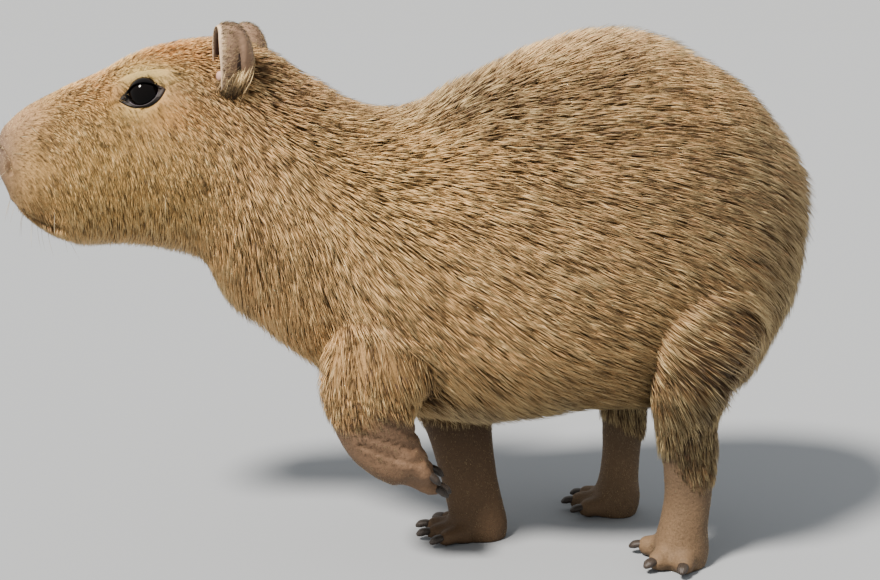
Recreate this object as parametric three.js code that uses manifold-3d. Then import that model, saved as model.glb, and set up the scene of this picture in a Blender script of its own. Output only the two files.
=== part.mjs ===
// A young capybara, life size, standing on three legs in mid-step with its left fore paw lifted and folded back.
// Millimetres, +Z up. It faces -X, its left side faces -Y, and the ground is z = 0 under the middle of its box.
import * as THREE from 'three';
import { mergeVertices } from 'three/addons/utils/BufferGeometryUtils.js';
import Module from 'manifold-3d';

const wasm = await Module();
wasm.setup();
const { Vector3 } = THREE;

// Driving dimensions
const GAP = 0.3; // air left between two nodes that touch
const CORE_SHARE = 0.45; // the share of the coat's depth that is solid, under the locks
const SOLE = -4; // how far a leg is drawn below the ground before its sole is cut flat
const EYE_AT = { x: -199, z: 382 };
const EYE_RADIUS = 13;
const EYE_DEPTH = 8.5; // from the face to the ball's centre
const EYE_TILT = 0.32; // how far the outer corner of the eye stands above the inner one
const LID = 1.6; // thickness of the lids round the ball
const EYE_OPENING = [13, 8.6, 7];
const EAR_AT = { x: -129, z: 396 };
const EAR = [19, 16, 30]; // half its width, depth and height
const EAR_WALL = 4;
const NOSTRIL_AT = { x: -314, z: 329 };
const NOSTRIL = [3.4, 7, 6.5];
const NOSTRIL_WING = [9, 8, 12];
const LOCK = { length: 108, width: 44, thick: 6, sunk: 7, rise: 5.2 }; // rise is how far its tip stands off the core
const LOCK_STEP = 68; // from one row of locks to the next
const LOCK_APART = 51; // and from one to the next in a row
const LOCK_VARIES = { size: 0.14, sway: 0.14, rise: 1.6, turn: 0.2 }; // sway is in radians, turn a share of a step
const CLAW_LENGTH = 15;
const CLAW_RADIUS = 4.6;

const COLOUR = {
  trunk: '#9a8058',
  rump: '#87714f',
  head: '#b08d5c',
  ear: '#7d6858',
  leg: '#85705a',
  paw: '#8b7a6c',
  claw: '#3b3430',
  eye: '#15100e',
};

// Each cross-section of a body part is one row: the two ends of its cut through the side outline, then what that
// outline doesn't show. x1, z1 is its top or front edge and x2, z2 its bottom or back edge. w is its half width,
// coat the depth of the coat inside the outline, y its middle to the side, n its squareness (2 is an ellipse) and
// k how much wider it is towards its second edge.
const row = (x1, z1, x2, z2, w, coat, { y = 0, n = 2.1, k = 0 } = {}) => ({ x1, z1, x2, z2, w, coat, y, n, k });

const BODY = [
  row(330, 272, 330, 262, 3, 13), // tail end
  row(309, 341, 305, 194, 70, 13, { k: 0.04 }), // buttock
  row(275, 385, 281, 144, 96, 13, { k: 0.08 }), // rump
  row(242, 410, 250, 127, 108, 13, { k: 0.11 }), // hip
  row(193, 431, 202, 117, 115, 13, { k: 0.13 }), // croup
  row(145, 433, 151, 114, 118, 13, { k: 0.14 }), // loin
  row(97, 417, 100, 107, 115, 12, { k: 0.14 }), // back
  row(50, 394, 41, 106, 107, 12, { k: 0.12 }), // ribs
  row(4, 372, -27, 123, 96, 12, { k: 0.08 }), // withers
  row(-41, 376, -85, 162, 79, 11, { k: 0.05 }), // neck base
  row(-81, 400, -139, 206, 65, 10, { k: 0.04 }), // neck
  row(-113, 420, -163, 244, 59, 7, { k: 0.05 }), // nape
  row(-152, 425, -187, 255, 57, 4, { n: 2.2, k: 0.06 }), // jaw
  row(-201, 416, -224, 260, 52, 3, { n: 2.35, k: 0.02 }), // brow
  row(-242, 397, -257, 260, 46, 3, { n: 2.5, k: 0.04 }), // bridge
  row(-275, 384, -286, 266, 42, 2.5, { n: 2.6, k: 0.05 }), // muzzle
  row(-300, 372, -307, 281, 37, 2, { n: 2.6, k: 0.02 }), // lips
  row(-317, 357, -320, 304, 27, 1, { n: 2.4 }), // nose
  row(-326, 336, -326, 332, 3, 1), // nose tip
];

// Where thin cuts part the body, each from a point of the back to a point of the belly.
const HEAD_CUT = [new Vector3(-97, 0, 411), new Vector3(-152, 0, 226)];
const NECK_CUT = [new Vector3(-28, 0, 372), new Vector3(-62, 0, 145)];
const RUMP_CUT = [new Vector3(170, 0, 431), new Vector3(178, 0, 112)];

const LEFT_FORELEG = [
  row(-28, 262, 52, 250, 22, 8, { y: -52 }), // shoulder, inside the chest
  row(-58, 200, 44, 188, 33, 8, { y: -64 }), // elbow
  row(-64, 160, 26, 156, 31, 4, { y: -70 }), // forearm
  row(-56, 126, 14, 132, 26, 2, { y: -72 }),
  row(-42, 99, 15, 114, 23, 1, { y: -72 }), // wrist
  row(-24, 82, 19, 104, 22, 1, { y: -72 }), // back of the paw
  row(-6, 72, 25, 94, 20, 1, { y: -71 }),
];
const RIGHT_FORELEG = [
  row(-28, 255, 60, 248, 28, 8, { y: 54 }), // shoulder, inside the chest
  row(-30, 200, 66, 192, 36, 8, { y: 55 }), // elbow
  row(-18, 160, 74, 152, 32, 6, { y: 44 }),
  row(-3, 128, 78, 124, 27, 3, { y: 29 }), // forearm
  row(17, 94, 79, 94, 22, 2, { y: 16 }),
  row(30, 58, 82, 58, 19, 1, { y: 9 }), // wrist
  row(36, 34, 87, 34, 19, 1, { y: 6 }),
  row(40, 14, 92, 12, 21, 1, { y: 5 }), // paw
  row(44, SOLE, 90, SOLE, 20, 1, { y: 5 }),
];
const LEFT_HINDLEG = [
  row(200, 300, 286, 285, 30, 10, { y: -52 }), // thigh, inside the haunch
  row(178, 220, 288, 207, 44, 10, { y: -74 }),
  row(188, 160, 268, 158, 38, 9, { y: -72 }), // knee
  row(199, 128, 258, 130, 30, 7, { y: -66 }),
  row(205, 105, 257, 108, 25, 5, { y: -62 }), // shank
  row(212, 79, 255, 79, 21, 1.5, { y: -59 }), // hock
  row(214, 56, 254, 58, 20, 1, { y: -57 }),
  row(211, 34, 252, 32, 22, 1, { y: -56 }),
  row(207, 14, 254, 14, 24, 1, { y: -55 }), // foot
  row(209, SOLE, 251, SOLE, 23, 1, { y: -55 }),
];
const RIGHT_HINDLEG = [
  row(180, 300, 268, 285, 30, 10, { y: 52 }), // thigh, inside the haunch
  row(152, 220, 266, 207, 44, 10, { y: 74 }),
  row(160, 160, 244, 158, 38, 9, { y: 74 }), // knee
  row(170, 128, 232, 130, 30, 7, { y: 69 }),
  row(174, 105, 222, 108, 25, 5, { y: 67 }), // shank
  row(177, 79, 217, 79, 21, 1.5, { y: 66 }), // hock
  row(178, 56, 214, 58, 20, 1, { y: 66 }),
  row(176, 34, 213, 32, 22, 1, { y: 66 }),
  row(171, 14, 215, 14, 24, 1, { y: 66 }), // foot
  row(173, SOLE, 211, SOLE, 23, 1, { y: 66 }),
];
const KNEE = 137; // height at which a thin cut parts the haunch from the leg
const ELBOW = 172; // height at which a thin cut parts the shoulder from the leg
const HOCK = 70; // height at which the hind leg ends and the foot starts
const WRIST = 46; // the same on the fore leg that stands
const LIFTED_WRIST = [new Vector3(-42, 0, 99), new Vector3(15, 0, -57)]; // and the cut through the lifted one

// The toes, each from its root to its tip.
const toe = (root, tip, radius = 9) => ({ root: new Vector3(...root), tip: new Vector3(...tip), radius });
const LEFT_FORETOES = [
  toe([0, -87, 98], [27, -84, 80], 8.5),
  toe([-8, -78, 87], [33, -75, 66], 8.5),
  toe([-10, -65, 84], [35, -61, 64], 8.5),
  toe([-2, -56, 92], [29, -50, 75], 8),
];
const RIGHT_FORETOES = [
  toe([56, -10, 7], [30, -24, 5], 8.5),
  toe([54, 0, 7], [19, -6, 5], 8.5),
  toe([54, 11, 7], [18, 14, 5], 8.5),
  toe([58, 20, 7], [32, 33, 5], 8),
];
const LEFT_HINDTOES = [
  toe([222, -44, 8.5], [197, -38, 6], 10.5),
  toe([224, -60, 8.5], [202, -78, 6], 10.5),
  toe([234, -64, 8], [226, -89, 6], 10),
];
const RIGHT_HINDTOES = [
  toe([186, 54, 8], [156, 48, 6], 10),
  toe([184, 66, 8.5], [150, 70, 6], 10.5),
  toe([188, 78, 8], [160, 92, 6], 10),
];

const TWO_PI = 2 * Math.PI;
const power = (c, n) => Math.sign(c) * Math.abs(c) ** (2 / n);
const mirrored = (v) => new Vector3(v.x, -v.y, v.z);

// The outline of a body part as a surface. at(t, turn) is the point at t along it, from 0 to 1, and turn round it,
// 0 at its first edge and positive towards -Y. share is how much of the coat it takes in and grow widens it all
// over. A round end swells from its pole as an egg does.
function surface(rows, { roundEnds = false, share = 1, grow = 0 } = {}) {
  const through = (pick) => new THREE.CatmullRomCurve3(rows.map(pick), false, 'catmullrom', 0.5);
  const curves = [
    through((r) => new Vector3(r.x1, r.z1, r.w)),
    through((r) => new Vector3(r.x2, r.z2, r.y)),
    through((r) => new Vector3(r.n, r.k, r.coat)),
  ];
  const last = rows.length - 1;
  // The cut through the outline at t, with the whole coat taken in
  function cutAt(t) {
    const [first, second, rest] = curves.map((c) => c.getPoint(t));
    return {
      middle: new Vector3((first.x + second.x) / 2, second.z, (first.y + second.y) / 2),
      half: new Vector3((first.x - second.x) / 2, 0, (first.y - second.y) / 2),
      width: first.z,
      n: rest.x,
      k: rest.y,
      coat: rest.z,
    };
  }
  function sectionAt(t) {
    const along = THREE.MathUtils.clamp(t, 0, 1);
    const here = cutAt(along);
    const inset = here.coat * (1 - share) - grow;
    const step = Math.min(along, 1 - along) * last;
    const inEnd = roundEnds && step < 1;
    const full = inEnd ? cutAt(along < 0.5 ? 1 / last : 1 - 1 / last) : here;
    const size = inEnd ? Math.sin((step * Math.PI) / 2) : 1;
    if (inEnd) {
      const pole = cutAt(Math.round(along)).middle;
      const drawn = inset / pole.distanceTo(full.middle);
      here.middle = pole.lerp(full.middle, drawn + (1 - drawn) * (1 - Math.cos((step * Math.PI) / 2)));
    }
    const half = full.half.multiplyScalar(size * (1 - inset / full.half.length()));
    return { middle: here.middle, half, width: size * (full.width - inset), n: here.n, k: here.k };
  }
  function at(t, turn) {
    const s = sectionAt(t);
    const up = power(Math.cos(turn), s.n);
    const side = power(Math.sin(turn), s.n) * (1 - s.k * up);
    return s.middle.clone().addScaledVector(s.half, up).add(new Vector3(0, -side * s.width, 0));
  }
  // t and turn of the place on the left side that a sideways look meets at x, z
  function seenAt(x, z, from = 0.55) {
    let [low, high] = [from, 1];
    for (let i = 0; i < 40; i++) {
      const t = (low + high) / 2;
      const s = sectionAt(t);
      const ahead = (x - s.middle.x) * s.half.z - (z - s.middle.z) * s.half.x < 0;
      if (ahead) low = t;
      else high = t;
    }
    const s = sectionAt(low);
    const up = ((x - s.middle.x) * s.half.x + (z - s.middle.z) * s.half.z) / s.half.lengthSq();
    return { t: low, turn: Math.acos(Math.sign(up) * Math.abs(up) ** (s.n / 2)) };
  }
  const onLeft = (x, z) => {
    const { t, turn } = seenAt(x, z);
    return at(t, turn);
  };
  return { at, sectionAt, seenAt, onLeft };
}

// Turns a closed geometry into a solid that can be cut and joined.
function solidOf(geometry) {
  geometry.deleteAttribute('normal');
  geometry.deleteAttribute('uv');
  const merged = mergeVertices(geometry, 1e-3);
  const make = (triVerts) =>
    new wasm.Manifold(new wasm.Mesh({ numProp: 3, vertProperties: merged.attributes.position.array, triVerts }));
  const made = make(new Uint32Array(merged.index.array));
  return made.volume() > 0 ? made : make(new Uint32Array(merged.index.array).reverse());
}

// A closed body: a ball with each of its rings moved to where place(t, turn) says, and its poles to the ring ends.
function stretched(rings, sides, place) {
  const ball = new THREE.SphereGeometry(1, sides, rings);
  const position = ball.attributes.position;
  for (let i = 0; i < position.count; i++) {
    const ring = Math.floor(i / (sides + 1));
    const turn = ((i % (sides + 1)) / sides) * TWO_PI;
    const onPole = ring === 0 || ring === rings;
    const t = onPole ? ring / rings : (ring - 0.5) / (rings - 1);
    const p = onPole ? place(t, 0).add(place(t, Math.PI)).multiplyScalar(0.5) : place(t, turn);
    position.setXYZ(i, p.x, p.y, p.z);
  }
  return solidOf(ball);
}

const loft = (rows, rings, sides, options) => stretched(rings, sides, surface(rows, options).at);

// A round rod along a smooth line, with the radius that thick(t) gives. flat makes it lower than it is wide.
function rod(points, rings, sides, thick, flat = 1) {
  const line = new THREE.CatmullRomCurve3(points);
  return stretched(rings, sides, (t, turn) => {
    const along = line.getTangent(t);
    const side = new Vector3(0, 0, 1).cross(along);
    if (side.length() < 0.05) side.set(1, 0, 0);
    side.normalize();
    const up = along.clone().cross(side);
    const r = thick(t);
    return line.getPoint(t).addScaledVector(side, r * Math.sin(turn)).addScaledVector(up, r * flat * Math.cos(turn));
  });
}

// An egg with half sizes along three directions of its own.
function egg(centre, halves, axes, rings = 9, sides = 12) {
  return stretched(rings, sides, (t, turn) => {
    const polar = t * Math.PI;
    return centre
      .clone()
      .addScaledVector(axes[2], halves[2] * Math.cos(polar))
      .addScaledVector(axes[0], halves[0] * Math.sin(polar) * Math.cos(turn))
      .addScaledVector(axes[1], halves[1] * Math.sin(polar) * Math.sin(turn));
  });
}

const union = (solids) => solids.reduce((whole, next) => whole.add(next));
const largest = (solid) => solid.decompose().sort((a, b) => b.volume() - a.volume())[0];

// The two sides of a thin cut along a plane: first what lies on the side that normal points to.
function parted(solid, point, normal) {
  const n = normal.clone().normalize();
  const level = n.dot(point);
  const ahead = solid.trimByPlane([n.x, n.y, n.z], level + GAP / 2);
  const behind = solid.trimByPlane([-n.x, -n.y, -n.z], -level + GAP / 2);
  return [ahead, behind];
}

// The same along a plane that runs straight across the body through a point of the back and one of the belly.
function partedAcross(solid, [top, bottom]) {
  const down = bottom.clone().sub(top);
  return parted(solid, top, new Vector3(down.z, 0, -down.x));
}

const UP = new Vector3(0, 0, 1);
const group = new THREE.Group();

// A solid's points and triangles as a three.js geometry
function geometryOf(solid) {
  const m = solid.getMesh();
  const points = new Float32Array(m.numVert * 3);
  for (let i = 0; i < m.numVert; i++) points.set(m.vertProperties.subarray(i * m.numProp, i * m.numProp + 3), i * 3);
  return new THREE.BufferGeometry()
    .setAttribute('position', new THREE.BufferAttribute(points, 3))
    .setIndex(new THREE.BufferAttribute(m.triVerts, 1));
}

// Only the largest closed surface is kept, also once points that lie on one another are merged.
function add(name, solid, color, roughness = 0.9) {
  const whole = largest(solidOf(geometryOf(largest(solid))));
  const mesh = new THREE.Mesh(
    geometryOf(whole),
    new THREE.MeshStandardMaterial({ color, roughness, metalness: 0 }),
  );
  mesh.name = name;
  group.add(mesh);
}

// Legs: what lies above the cut is fused to the body, and what hangs below it is cut clear of the body's belly.
const BODY_RINGS = 42;
const BODY_SIDES = 20;
const TRUNK_RINGS = 28;
const TRUNK_SIDES = 16;
const LEG_RINGS = 12;
const LEG_SIDES = 12;
const core = loft(BODY, BODY_RINGS, BODY_SIDES, { roundEnds: true, share: CORE_SHARE });
const clearance = loft(BODY, BODY_RINGS, BODY_SIDES, { roundEnds: true, share: CORE_SHARE, grow: GAP });
const coreSkin = surface(BODY, { roundEnds: true, share: CORE_SHARE });
function leg(rows, cutHeight) {
  const whole = loft(rows, LEG_RINGS, LEG_SIDES, { share: CORE_SHARE });
  const [upper, lower] = parted(whole, new Vector3(0, 0, cutHeight), UP);
  const wide = loft(rows, LEG_RINGS, LEG_SIDES, { share: CORE_SHARE, grow: GAP });
  const room = wide.trimByPlane([0, 0, -1], -(cutHeight + GAP / 2));
  return { upper, room, lower: largest(lower.subtract(clearance)) };
}
const leftFore = leg(LEFT_FORELEG, ELBOW);
const rightFore = leg(RIGHT_FORELEG, ELBOW);
const leftHind = leg(LEFT_HINDLEG, KNEE);
const rightHind = leg(RIGHT_HINDLEG, KNEE);

// The lie of the coat: at x, the angle by which hair on the side slopes down from straight back.
const LIE = [
  [-330, 50],
  [-120, 58],
  [-60, 50],
  [0, 38],
  [60, 26],
  [150, 18],
  [240, 28],
  [300, 50],
  [331, 65],
];
function slopeAt(x) {
  const i = Math.max(1, LIE.findIndex(([end]) => x <= end));
  const [[x1, a1], [x2, a2]] = [LIE[i - 1], LIE[i]];
  return THREE.MathUtils.degToRad(THREE.MathUtils.mapLinear(THREE.MathUtils.clamp(x, x1, x2), x1, x2, a1, a2));
}

// Point, tangents and outward normal of the core at t, turn
function spotAt(t, turn) {
  const e = 1e-4;
  const point = coreSkin.at(t, turn);
  const along = coreSkin.at(t + e, turn).sub(coreSkin.at(t - e, turn)).divideScalar(2 * e);
  const round = coreSkin.at(t, turn + e).sub(coreSkin.at(t, turn - e)).divideScalar(2 * e);
  const normal = along.clone().cross(round).normalize();
  if (normal.dot(point.clone().sub(coreSkin.sectionAt(t).middle)) < 0) normal.negate();
  return { point, along, round, normal };
}

// A lock of hair: a flat rod with a ridge, its root sunk in the core, that follows the lie of the coat and comes
// away from the core towards its tip.
const LOCK_STEPS = 5;
const FIRST_LOCKS = 0.034; // how far along the body the rearmost row of locks is rooted
const LAST_LOCKS = -128; // and the x at which the rows end, behind the head
const POLE_ROOM = 0.003;
const LOCK_RINGS = 5;
function lockSolid(rootT, rootTurn, size, sway, tipRise) {
  let [t, turn] = [rootT, rootTurn];
  const spine = [];
  const outward = [];
  let cameAlong;
  for (let i = 0; i <= LOCK_STEPS; i++) {
    const s = i / LOCK_STEPS;
    const spot = spotAt(t, turn);
    const slope = slopeAt(spot.point.x) + sway;
    const lie = new Vector3(Math.cos(slope), 0, -Math.sin(slope)).projectOnPlane(spot.normal).normalize();
    // It swings only slowly from the way it came, and never turns back
    if (cameAlong) lie.lerp(cameAlong, lie.dot(cameAlong) > 0 ? 0.6 : 1).projectOnPlane(spot.normal).normalize();
    cameAlong = lie.clone();
    const rise = THREE.MathUtils.lerp(-LOCK.sunk, tipRise, Math.sin((s * Math.PI) / 2));
    spine.push(spot.point.clone().addScaledVector(spot.normal, rise));
    outward.push(spot.normal);
    const reach = lie.multiplyScalar((size * LOCK.length) / LOCK_STEPS);
    const [aa, ab, bb] = [spot.along.lengthSq(), spot.along.dot(spot.round), spot.round.lengthSq()];
    const [ra, rb] = [reach.dot(spot.along), reach.dot(spot.round)];
    const det = aa * bb - ab * ab;
    t += (ra * bb - rb * ab) / det;
    turn += (rb * aa - ra * ab) / det;
    // Past the tail end the other side begins
    if (t < POLE_ROOM) [t, turn] = [2 * POLE_ROOM - t, turn + Math.PI];
  }
  const line = new THREE.CatmullRomCurve3(spine);
  const facing = new THREE.CatmullRomCurve3(outward);
  return stretched(LOCK_RINGS, 3, (s, around) => {
    const out = facing.getPoint(s).normalize();
    const side = line.getTangent(s).cross(out).normalize();
    const taper = Math.min(1, 0.75 + s) * Math.sqrt(Math.max(1 - s ** 3, 0));
    const width = size * LOCK.width * 0.58 * taper;
    const thick = LOCK.thick * (1 - 0.6 * s) * Math.min(1, 8 * (1 - s) + 0.05);
    return line
      .getPoint(s)
      .addScaledVector(side, width * Math.sin(around))
      .addScaledVector(out, thick * 0.66 * Math.cos(around));
  });
}

// Locks over the trunk, row after row from the rump to the neck, each row half a lock out of line with the last
function coatOfLocks() {
  let seed = 31;
  const draw = () => {
    seed = (seed * 16807) % 2147483647;
    return (seed / 2147483647) * 2 - 1;
  };
  const locks = [];
  let t = FIRST_LOCKS;
  for (let line = 0; coreSkin.sectionAt(t).middle.x > LAST_LOCKS; line++) {
    const s = coreSkin.sectionAt(t);
    const about = Math.PI * Math.SQRT2 * Math.hypot(s.half.length(), s.width);
    const count = Math.max(3, Math.round(about / LOCK_APART));
    for (let i = 0; i < count; i++) {
      const turn = (TWO_PI * (i + (line % 2) / 2 + LOCK_VARIES.turn * draw())) / count;
      const size = 1 + LOCK_VARIES.size * draw();
      const sway = LOCK_VARIES.sway * draw();
      locks.push(lockSolid(t, turn, size, sway, LOCK.rise + LOCK_VARIES.rise * draw()));
    }
    const spot = spotAt(t, Math.PI / 2);
    t += LOCK_STEP / spot.along.length();
  }
  return locks;
}
// The whole body, then its four lengths
const trunkCore = loft(BODY, TRUNK_RINGS, TRUNK_SIDES, { roundEnds: true, share: CORE_SHARE });
const locks = coatOfLocks();
const plainBody = union([trunkCore, leftFore.upper, rightFore.upper, leftHind.upper, rightHind.upper]);
const legRoom = union([leftFore.room, rightFore.room, leftHind.room, rightHind.room]);
const body = largest(union([plainBody, ...locks]).subtract(legRoom));
const [headWhole] = partedAcross(core, HEAD_CUT);
const [, behindHead] = partedAcross(body, HEAD_CUT);
const [neck, behindNeck] = partedAcross(behindHead, NECK_CUT);
const [torso, rump] = partedAcross(behindNeck, RUMP_CUT);

// Toes and claws
const TOE_RINGS = 5;
const TOE_SIDES = 7;
function toeSolid({ root, tip, radius }) {
  const knuckle = root.clone().lerp(tip, 0.5).addScaledVector(UP, 2);
  const thick = (t) => radius * Math.sqrt(Math.max(1 - Math.max(0, t - 0.62) ** 2 / 0.15, 0.02)) * (1 - 0.1 * t);
  return rod([root, knuckle, tip], TOE_RINGS, TOE_SIDES, thick);
}
function clawSolid({ root, tip, radius }, grow = 0) {
  const ahead = tip.clone().sub(root).normalize();
  const start = tip.clone().addScaledVector(ahead, -CLAW_LENGTH * 0.55).addScaledVector(UP, radius * 0.25);
  const middle = start.clone().addScaledVector(ahead, CLAW_LENGTH * 0.55).addScaledVector(UP, 0.6);
  const end = start.clone().addScaledVector(ahead, CLAW_LENGTH).addScaledVector(UP, -1.8);
  const thick = (t) => CLAW_RADIUS * Math.min(1, 0.45 + 2 * t, 2.6 * (1.12 - t)) + grow;
  return rod([start, middle, end], 4, 6, thick, 0.8);
}
function foot(solid, toes) {
  const claws = toes.map((one) => clawSolid(one, GAP));
  const whole = union([solid, ...toes.map(toeSolid)]).subtract(union(claws));
  return whole.trimByPlane([0, 0, 1], 0);
}

function addLegs() {
  const [leftShank, leftFoot] = parted(leftHind.lower, new Vector3(0, 0, HOCK), UP);
  const [rightShank, rightFoot] = parted(rightHind.lower, new Vector3(0, 0, HOCK), UP);
  const [rightArm, rightPaw] = parted(rightFore.lower, new Vector3(0, 0, WRIST), UP);
  const [leftPaw, leftArm] = parted(leftFore.lower, ...LIFTED_WRIST);
  add('foreleg_left', leftArm, COLOUR.leg);
  add('foreleg_right', rightArm, COLOUR.leg);
  add('hindleg_left', leftShank, COLOUR.leg);
  add('hindleg_right', rightShank, COLOUR.leg);
  const feet = [
    ['forepaw_left', leftPaw, LEFT_FORETOES],
    ['forepaw_right', rightPaw, RIGHT_FORETOES],
    ['hindfoot_left', leftFoot, LEFT_HINDTOES],
    ['hindfoot_right', rightFoot, RIGHT_HINDTOES],
  ];
  for (const [name, solid, toes] of feet) {
    add(name, foot(solid, toes), COLOUR.paw);
    toes.forEach((one, i) => {
      add(`claw_${name}_${i + 1}`, clawSolid(one).trimByPlane([0, 0, 1], 0), COLOUR.claw, 0.5);
    });
  }
}

// Head: lids, eyes, nostrils, mouth and ears are made on the left and mirrored to the right.
const eyeFace = coreSkin.onLeft(EYE_AT.x, EYE_AT.z);
const eyeOut = new Vector3(-0.1, -1, 0.12).normalize();
const eyeLong = new Vector3(Math.cos(EYE_TILT), 0, Math.sin(EYE_TILT)).projectOnPlane(eyeOut).normalize();
const eyeAxes = [eyeLong, eyeOut.clone().cross(eyeLong), eyeOut];
const eyeCentre = eyeFace.clone().addScaledVector(eyeOut, -EYE_DEPTH);

const earUp = new Vector3(0.12, -0.34, 1).normalize();
const earFace = new Vector3(-0.93, -0.4, 0).projectOnPlane(earUp).normalize();
const earAxes = [earUp.clone().cross(earFace), earFace, earUp];

const noseAxes = [new Vector3(0.95, 0, 0.3), new Vector3(0, 1, 0), new Vector3(-0.3, 0, 0.95)];

const MOUTH = [
  [-308, 292],
  [-294, 287],
  [-279, 284],
  [-264, 284],
];
const onFace = ([x, z]) => coreSkin.onLeft(x, z);

function faceSide(flip) {
  const place = (v) => (flip ? mirrored(v) : v.clone());
  const placedEgg = (centre, halves, axes, ...faces) => egg(place(centre), halves, axes.map(place), ...faces);
  const ball = placedEgg(eyeCentre, Array(3).fill(EYE_RADIUS), eyeAxes);
  const ballRoom = placedEgg(eyeCentre, Array(3).fill(EYE_RADIUS + GAP), eyeAxes);
  const lids = placedEgg(eyeCentre, [EYE_RADIUS + 7, EYE_RADIUS + LID, EYE_RADIUS + LID], eyeAxes);
  const opening = placedEgg(eyeCentre.clone().addScaledVector(eyeOut, EYE_RADIUS), EYE_OPENING, eyeAxes);
  const lipPoints = MOUTH.map(onFace);
  const lip = (rise) => lipPoints.map((p) => place(p.clone().addScaledVector(UP, rise)));
  const lips = [3, -3].map((rise) => rod(lip(rise), 6, 6, (t) => 3 - 2 * t * t));
  const mouth = rod(lip(0), 6, 5, () => 2.4, 0.5);
  const nostrilAt = coreSkin.onLeft(NOSTRIL_AT.x, NOSTRIL_AT.z);
  const nostril = placedEgg(nostrilAt, NOSTRIL, noseAxes, 6, 8);
  const wing = placedEgg(nostrilAt.clone().add(new Vector3(3, 4, -1)), NOSTRIL_WING, noseAxes, 6, 8);
  const earCentre = coreSkin.onLeft(EAR_AT.x, EAR_AT.z).add(new Vector3(0, 2, 10));
  const [width, depth, height] = EAR;
  const cup = placedEgg(earCentre, EAR, earAxes);
  const hollowCentre = earCentre.clone().addScaledVector(earFace, depth / 2).addScaledVector(earUp, EAR_WALL);
  const hollow = placedEgg(hollowCentre, [width - EAR_WALL, 1.5 * depth - EAR_WALL, height - EAR_WALL], earAxes);
  return {
    ball,
    ear: cup.subtract(hollow),
    raised: [lids, wing, ...lips],
    cut: [opening, ballRoom, mouth, nostril],
  };
}

function addHead() {
  const sides = [false, true].map(faceSide);
  let head = headWhole;
  for (const side of sides) head = union([head, ...side.raised]);
  for (const side of sides) head = head.subtract(union(side.cut));
  add('head', head, COLOUR.head);
  ['left', 'right'].forEach((name, i) => {
    add(`ear_${name}`, sides[i].ear.subtract(clearance), COLOUR.ear);
    add(`eye_${name}`, sides[i].ball, COLOUR.eye, 0.15);
  });
}

addHead();
add('neck', neck, COLOUR.trunk);
add('torso', torso, COLOUR.trunk);
add('rump', rump, COLOUR.rump);
addLegs();

// The ground lies under the middle of the whole box.
const box = new THREE.Box3().setFromObject(group);
group.position.set(-(box.min.x + box.max.x) / 2, -(box.min.y + box.max.y) / 2, -box.min.z);

export default group;
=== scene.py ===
import math
import bmesh
import bpy
import numpy as np
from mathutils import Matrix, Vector
from mathutils.bvhtree import BVHTree
from mathutils.kdtree import KDTree


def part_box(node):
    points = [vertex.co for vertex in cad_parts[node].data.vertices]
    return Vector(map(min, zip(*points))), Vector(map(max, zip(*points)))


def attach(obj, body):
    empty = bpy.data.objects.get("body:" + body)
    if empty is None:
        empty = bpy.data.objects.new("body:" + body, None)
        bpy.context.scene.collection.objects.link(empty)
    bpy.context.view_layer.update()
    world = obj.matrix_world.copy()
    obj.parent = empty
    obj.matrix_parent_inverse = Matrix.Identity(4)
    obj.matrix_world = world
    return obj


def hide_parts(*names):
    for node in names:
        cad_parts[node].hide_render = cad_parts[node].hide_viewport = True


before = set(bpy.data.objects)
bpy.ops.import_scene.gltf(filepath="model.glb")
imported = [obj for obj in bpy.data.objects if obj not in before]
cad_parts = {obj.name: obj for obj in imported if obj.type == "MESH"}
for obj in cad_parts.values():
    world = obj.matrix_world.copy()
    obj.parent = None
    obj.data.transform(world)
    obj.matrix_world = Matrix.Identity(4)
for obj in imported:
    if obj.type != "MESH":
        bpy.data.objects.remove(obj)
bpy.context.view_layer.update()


# Skin
# The flesh under the coat: one unbroken hide, bare and wrinkled only on the paws. It is stretched over the
# same cross-sections as the solids, less the whole depth of the coat, and remeshed. A row holds both ends
# of a cut in side view, its half width, the coat's depth, its middle, squareness and widening, in mm.
MM = 0.001


def row(x1, z1, x2, z2, w, coat, y=0.0, n=2.1, k=0.0):
    return (x1, z1, w, x2, z2, y, coat, n, k)


BODY = np.array([
    row(330, 272, 330, 262, 3, 13),
    row(309, 341, 305, 194, 70, 13, k=0.04),
    row(275, 385, 281, 144, 96, 13, k=0.08),
    row(242, 410, 250, 127, 108, 13, k=0.11),
    row(193, 431, 202, 117, 115, 13, k=0.13),
    row(145, 433, 151, 114, 118, 13, k=0.14),
    row(97, 417, 100, 107, 115, 12, k=0.14),
    row(50, 394, 41, 106, 107, 12, k=0.12),
    row(4, 372, -27, 123, 96, 12, k=0.08),
    row(-41, 376, -85, 162, 79, 11, k=0.05),
    row(-81, 400, -139, 206, 65, 10, k=0.04),
    row(-113, 420, -163, 244, 59, 7, k=0.05),
    row(-152, 425, -187, 255, 57, 4, n=2.2, k=0.06),
    row(-201, 416, -224, 260, 52, 3, n=2.35, k=0.02),
    row(-242, 397, -257, 260, 46, 3, n=2.5, k=0.04),
    row(-275, 384, -286, 266, 42, 2.5, n=2.6, k=0.05),
    row(-300, 372, -307, 281, 37, 2, n=2.6, k=0.02),
    row(-317, 357, -320, 304, 27, 1, n=2.4),
    row(-326, 336, -326, 332, 3, 1),
])
SOLE = -4
LEFT_FORELEG = np.array([
    row(-28, 262, 52, 250, 22, 8, y=-52),
    row(-58, 200, 44, 188, 33, 8, y=-64),
    row(-64, 160, 26, 156, 31, 4, y=-70),
    row(-56, 126, 14, 132, 26, 2, y=-72),
    row(-42, 99, 15, 114, 23, 1, y=-72),
    row(-24, 82, 19, 104, 22, 1, y=-72),
    row(-6, 72, 25, 94, 20, 1, y=-71),
])
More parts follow.
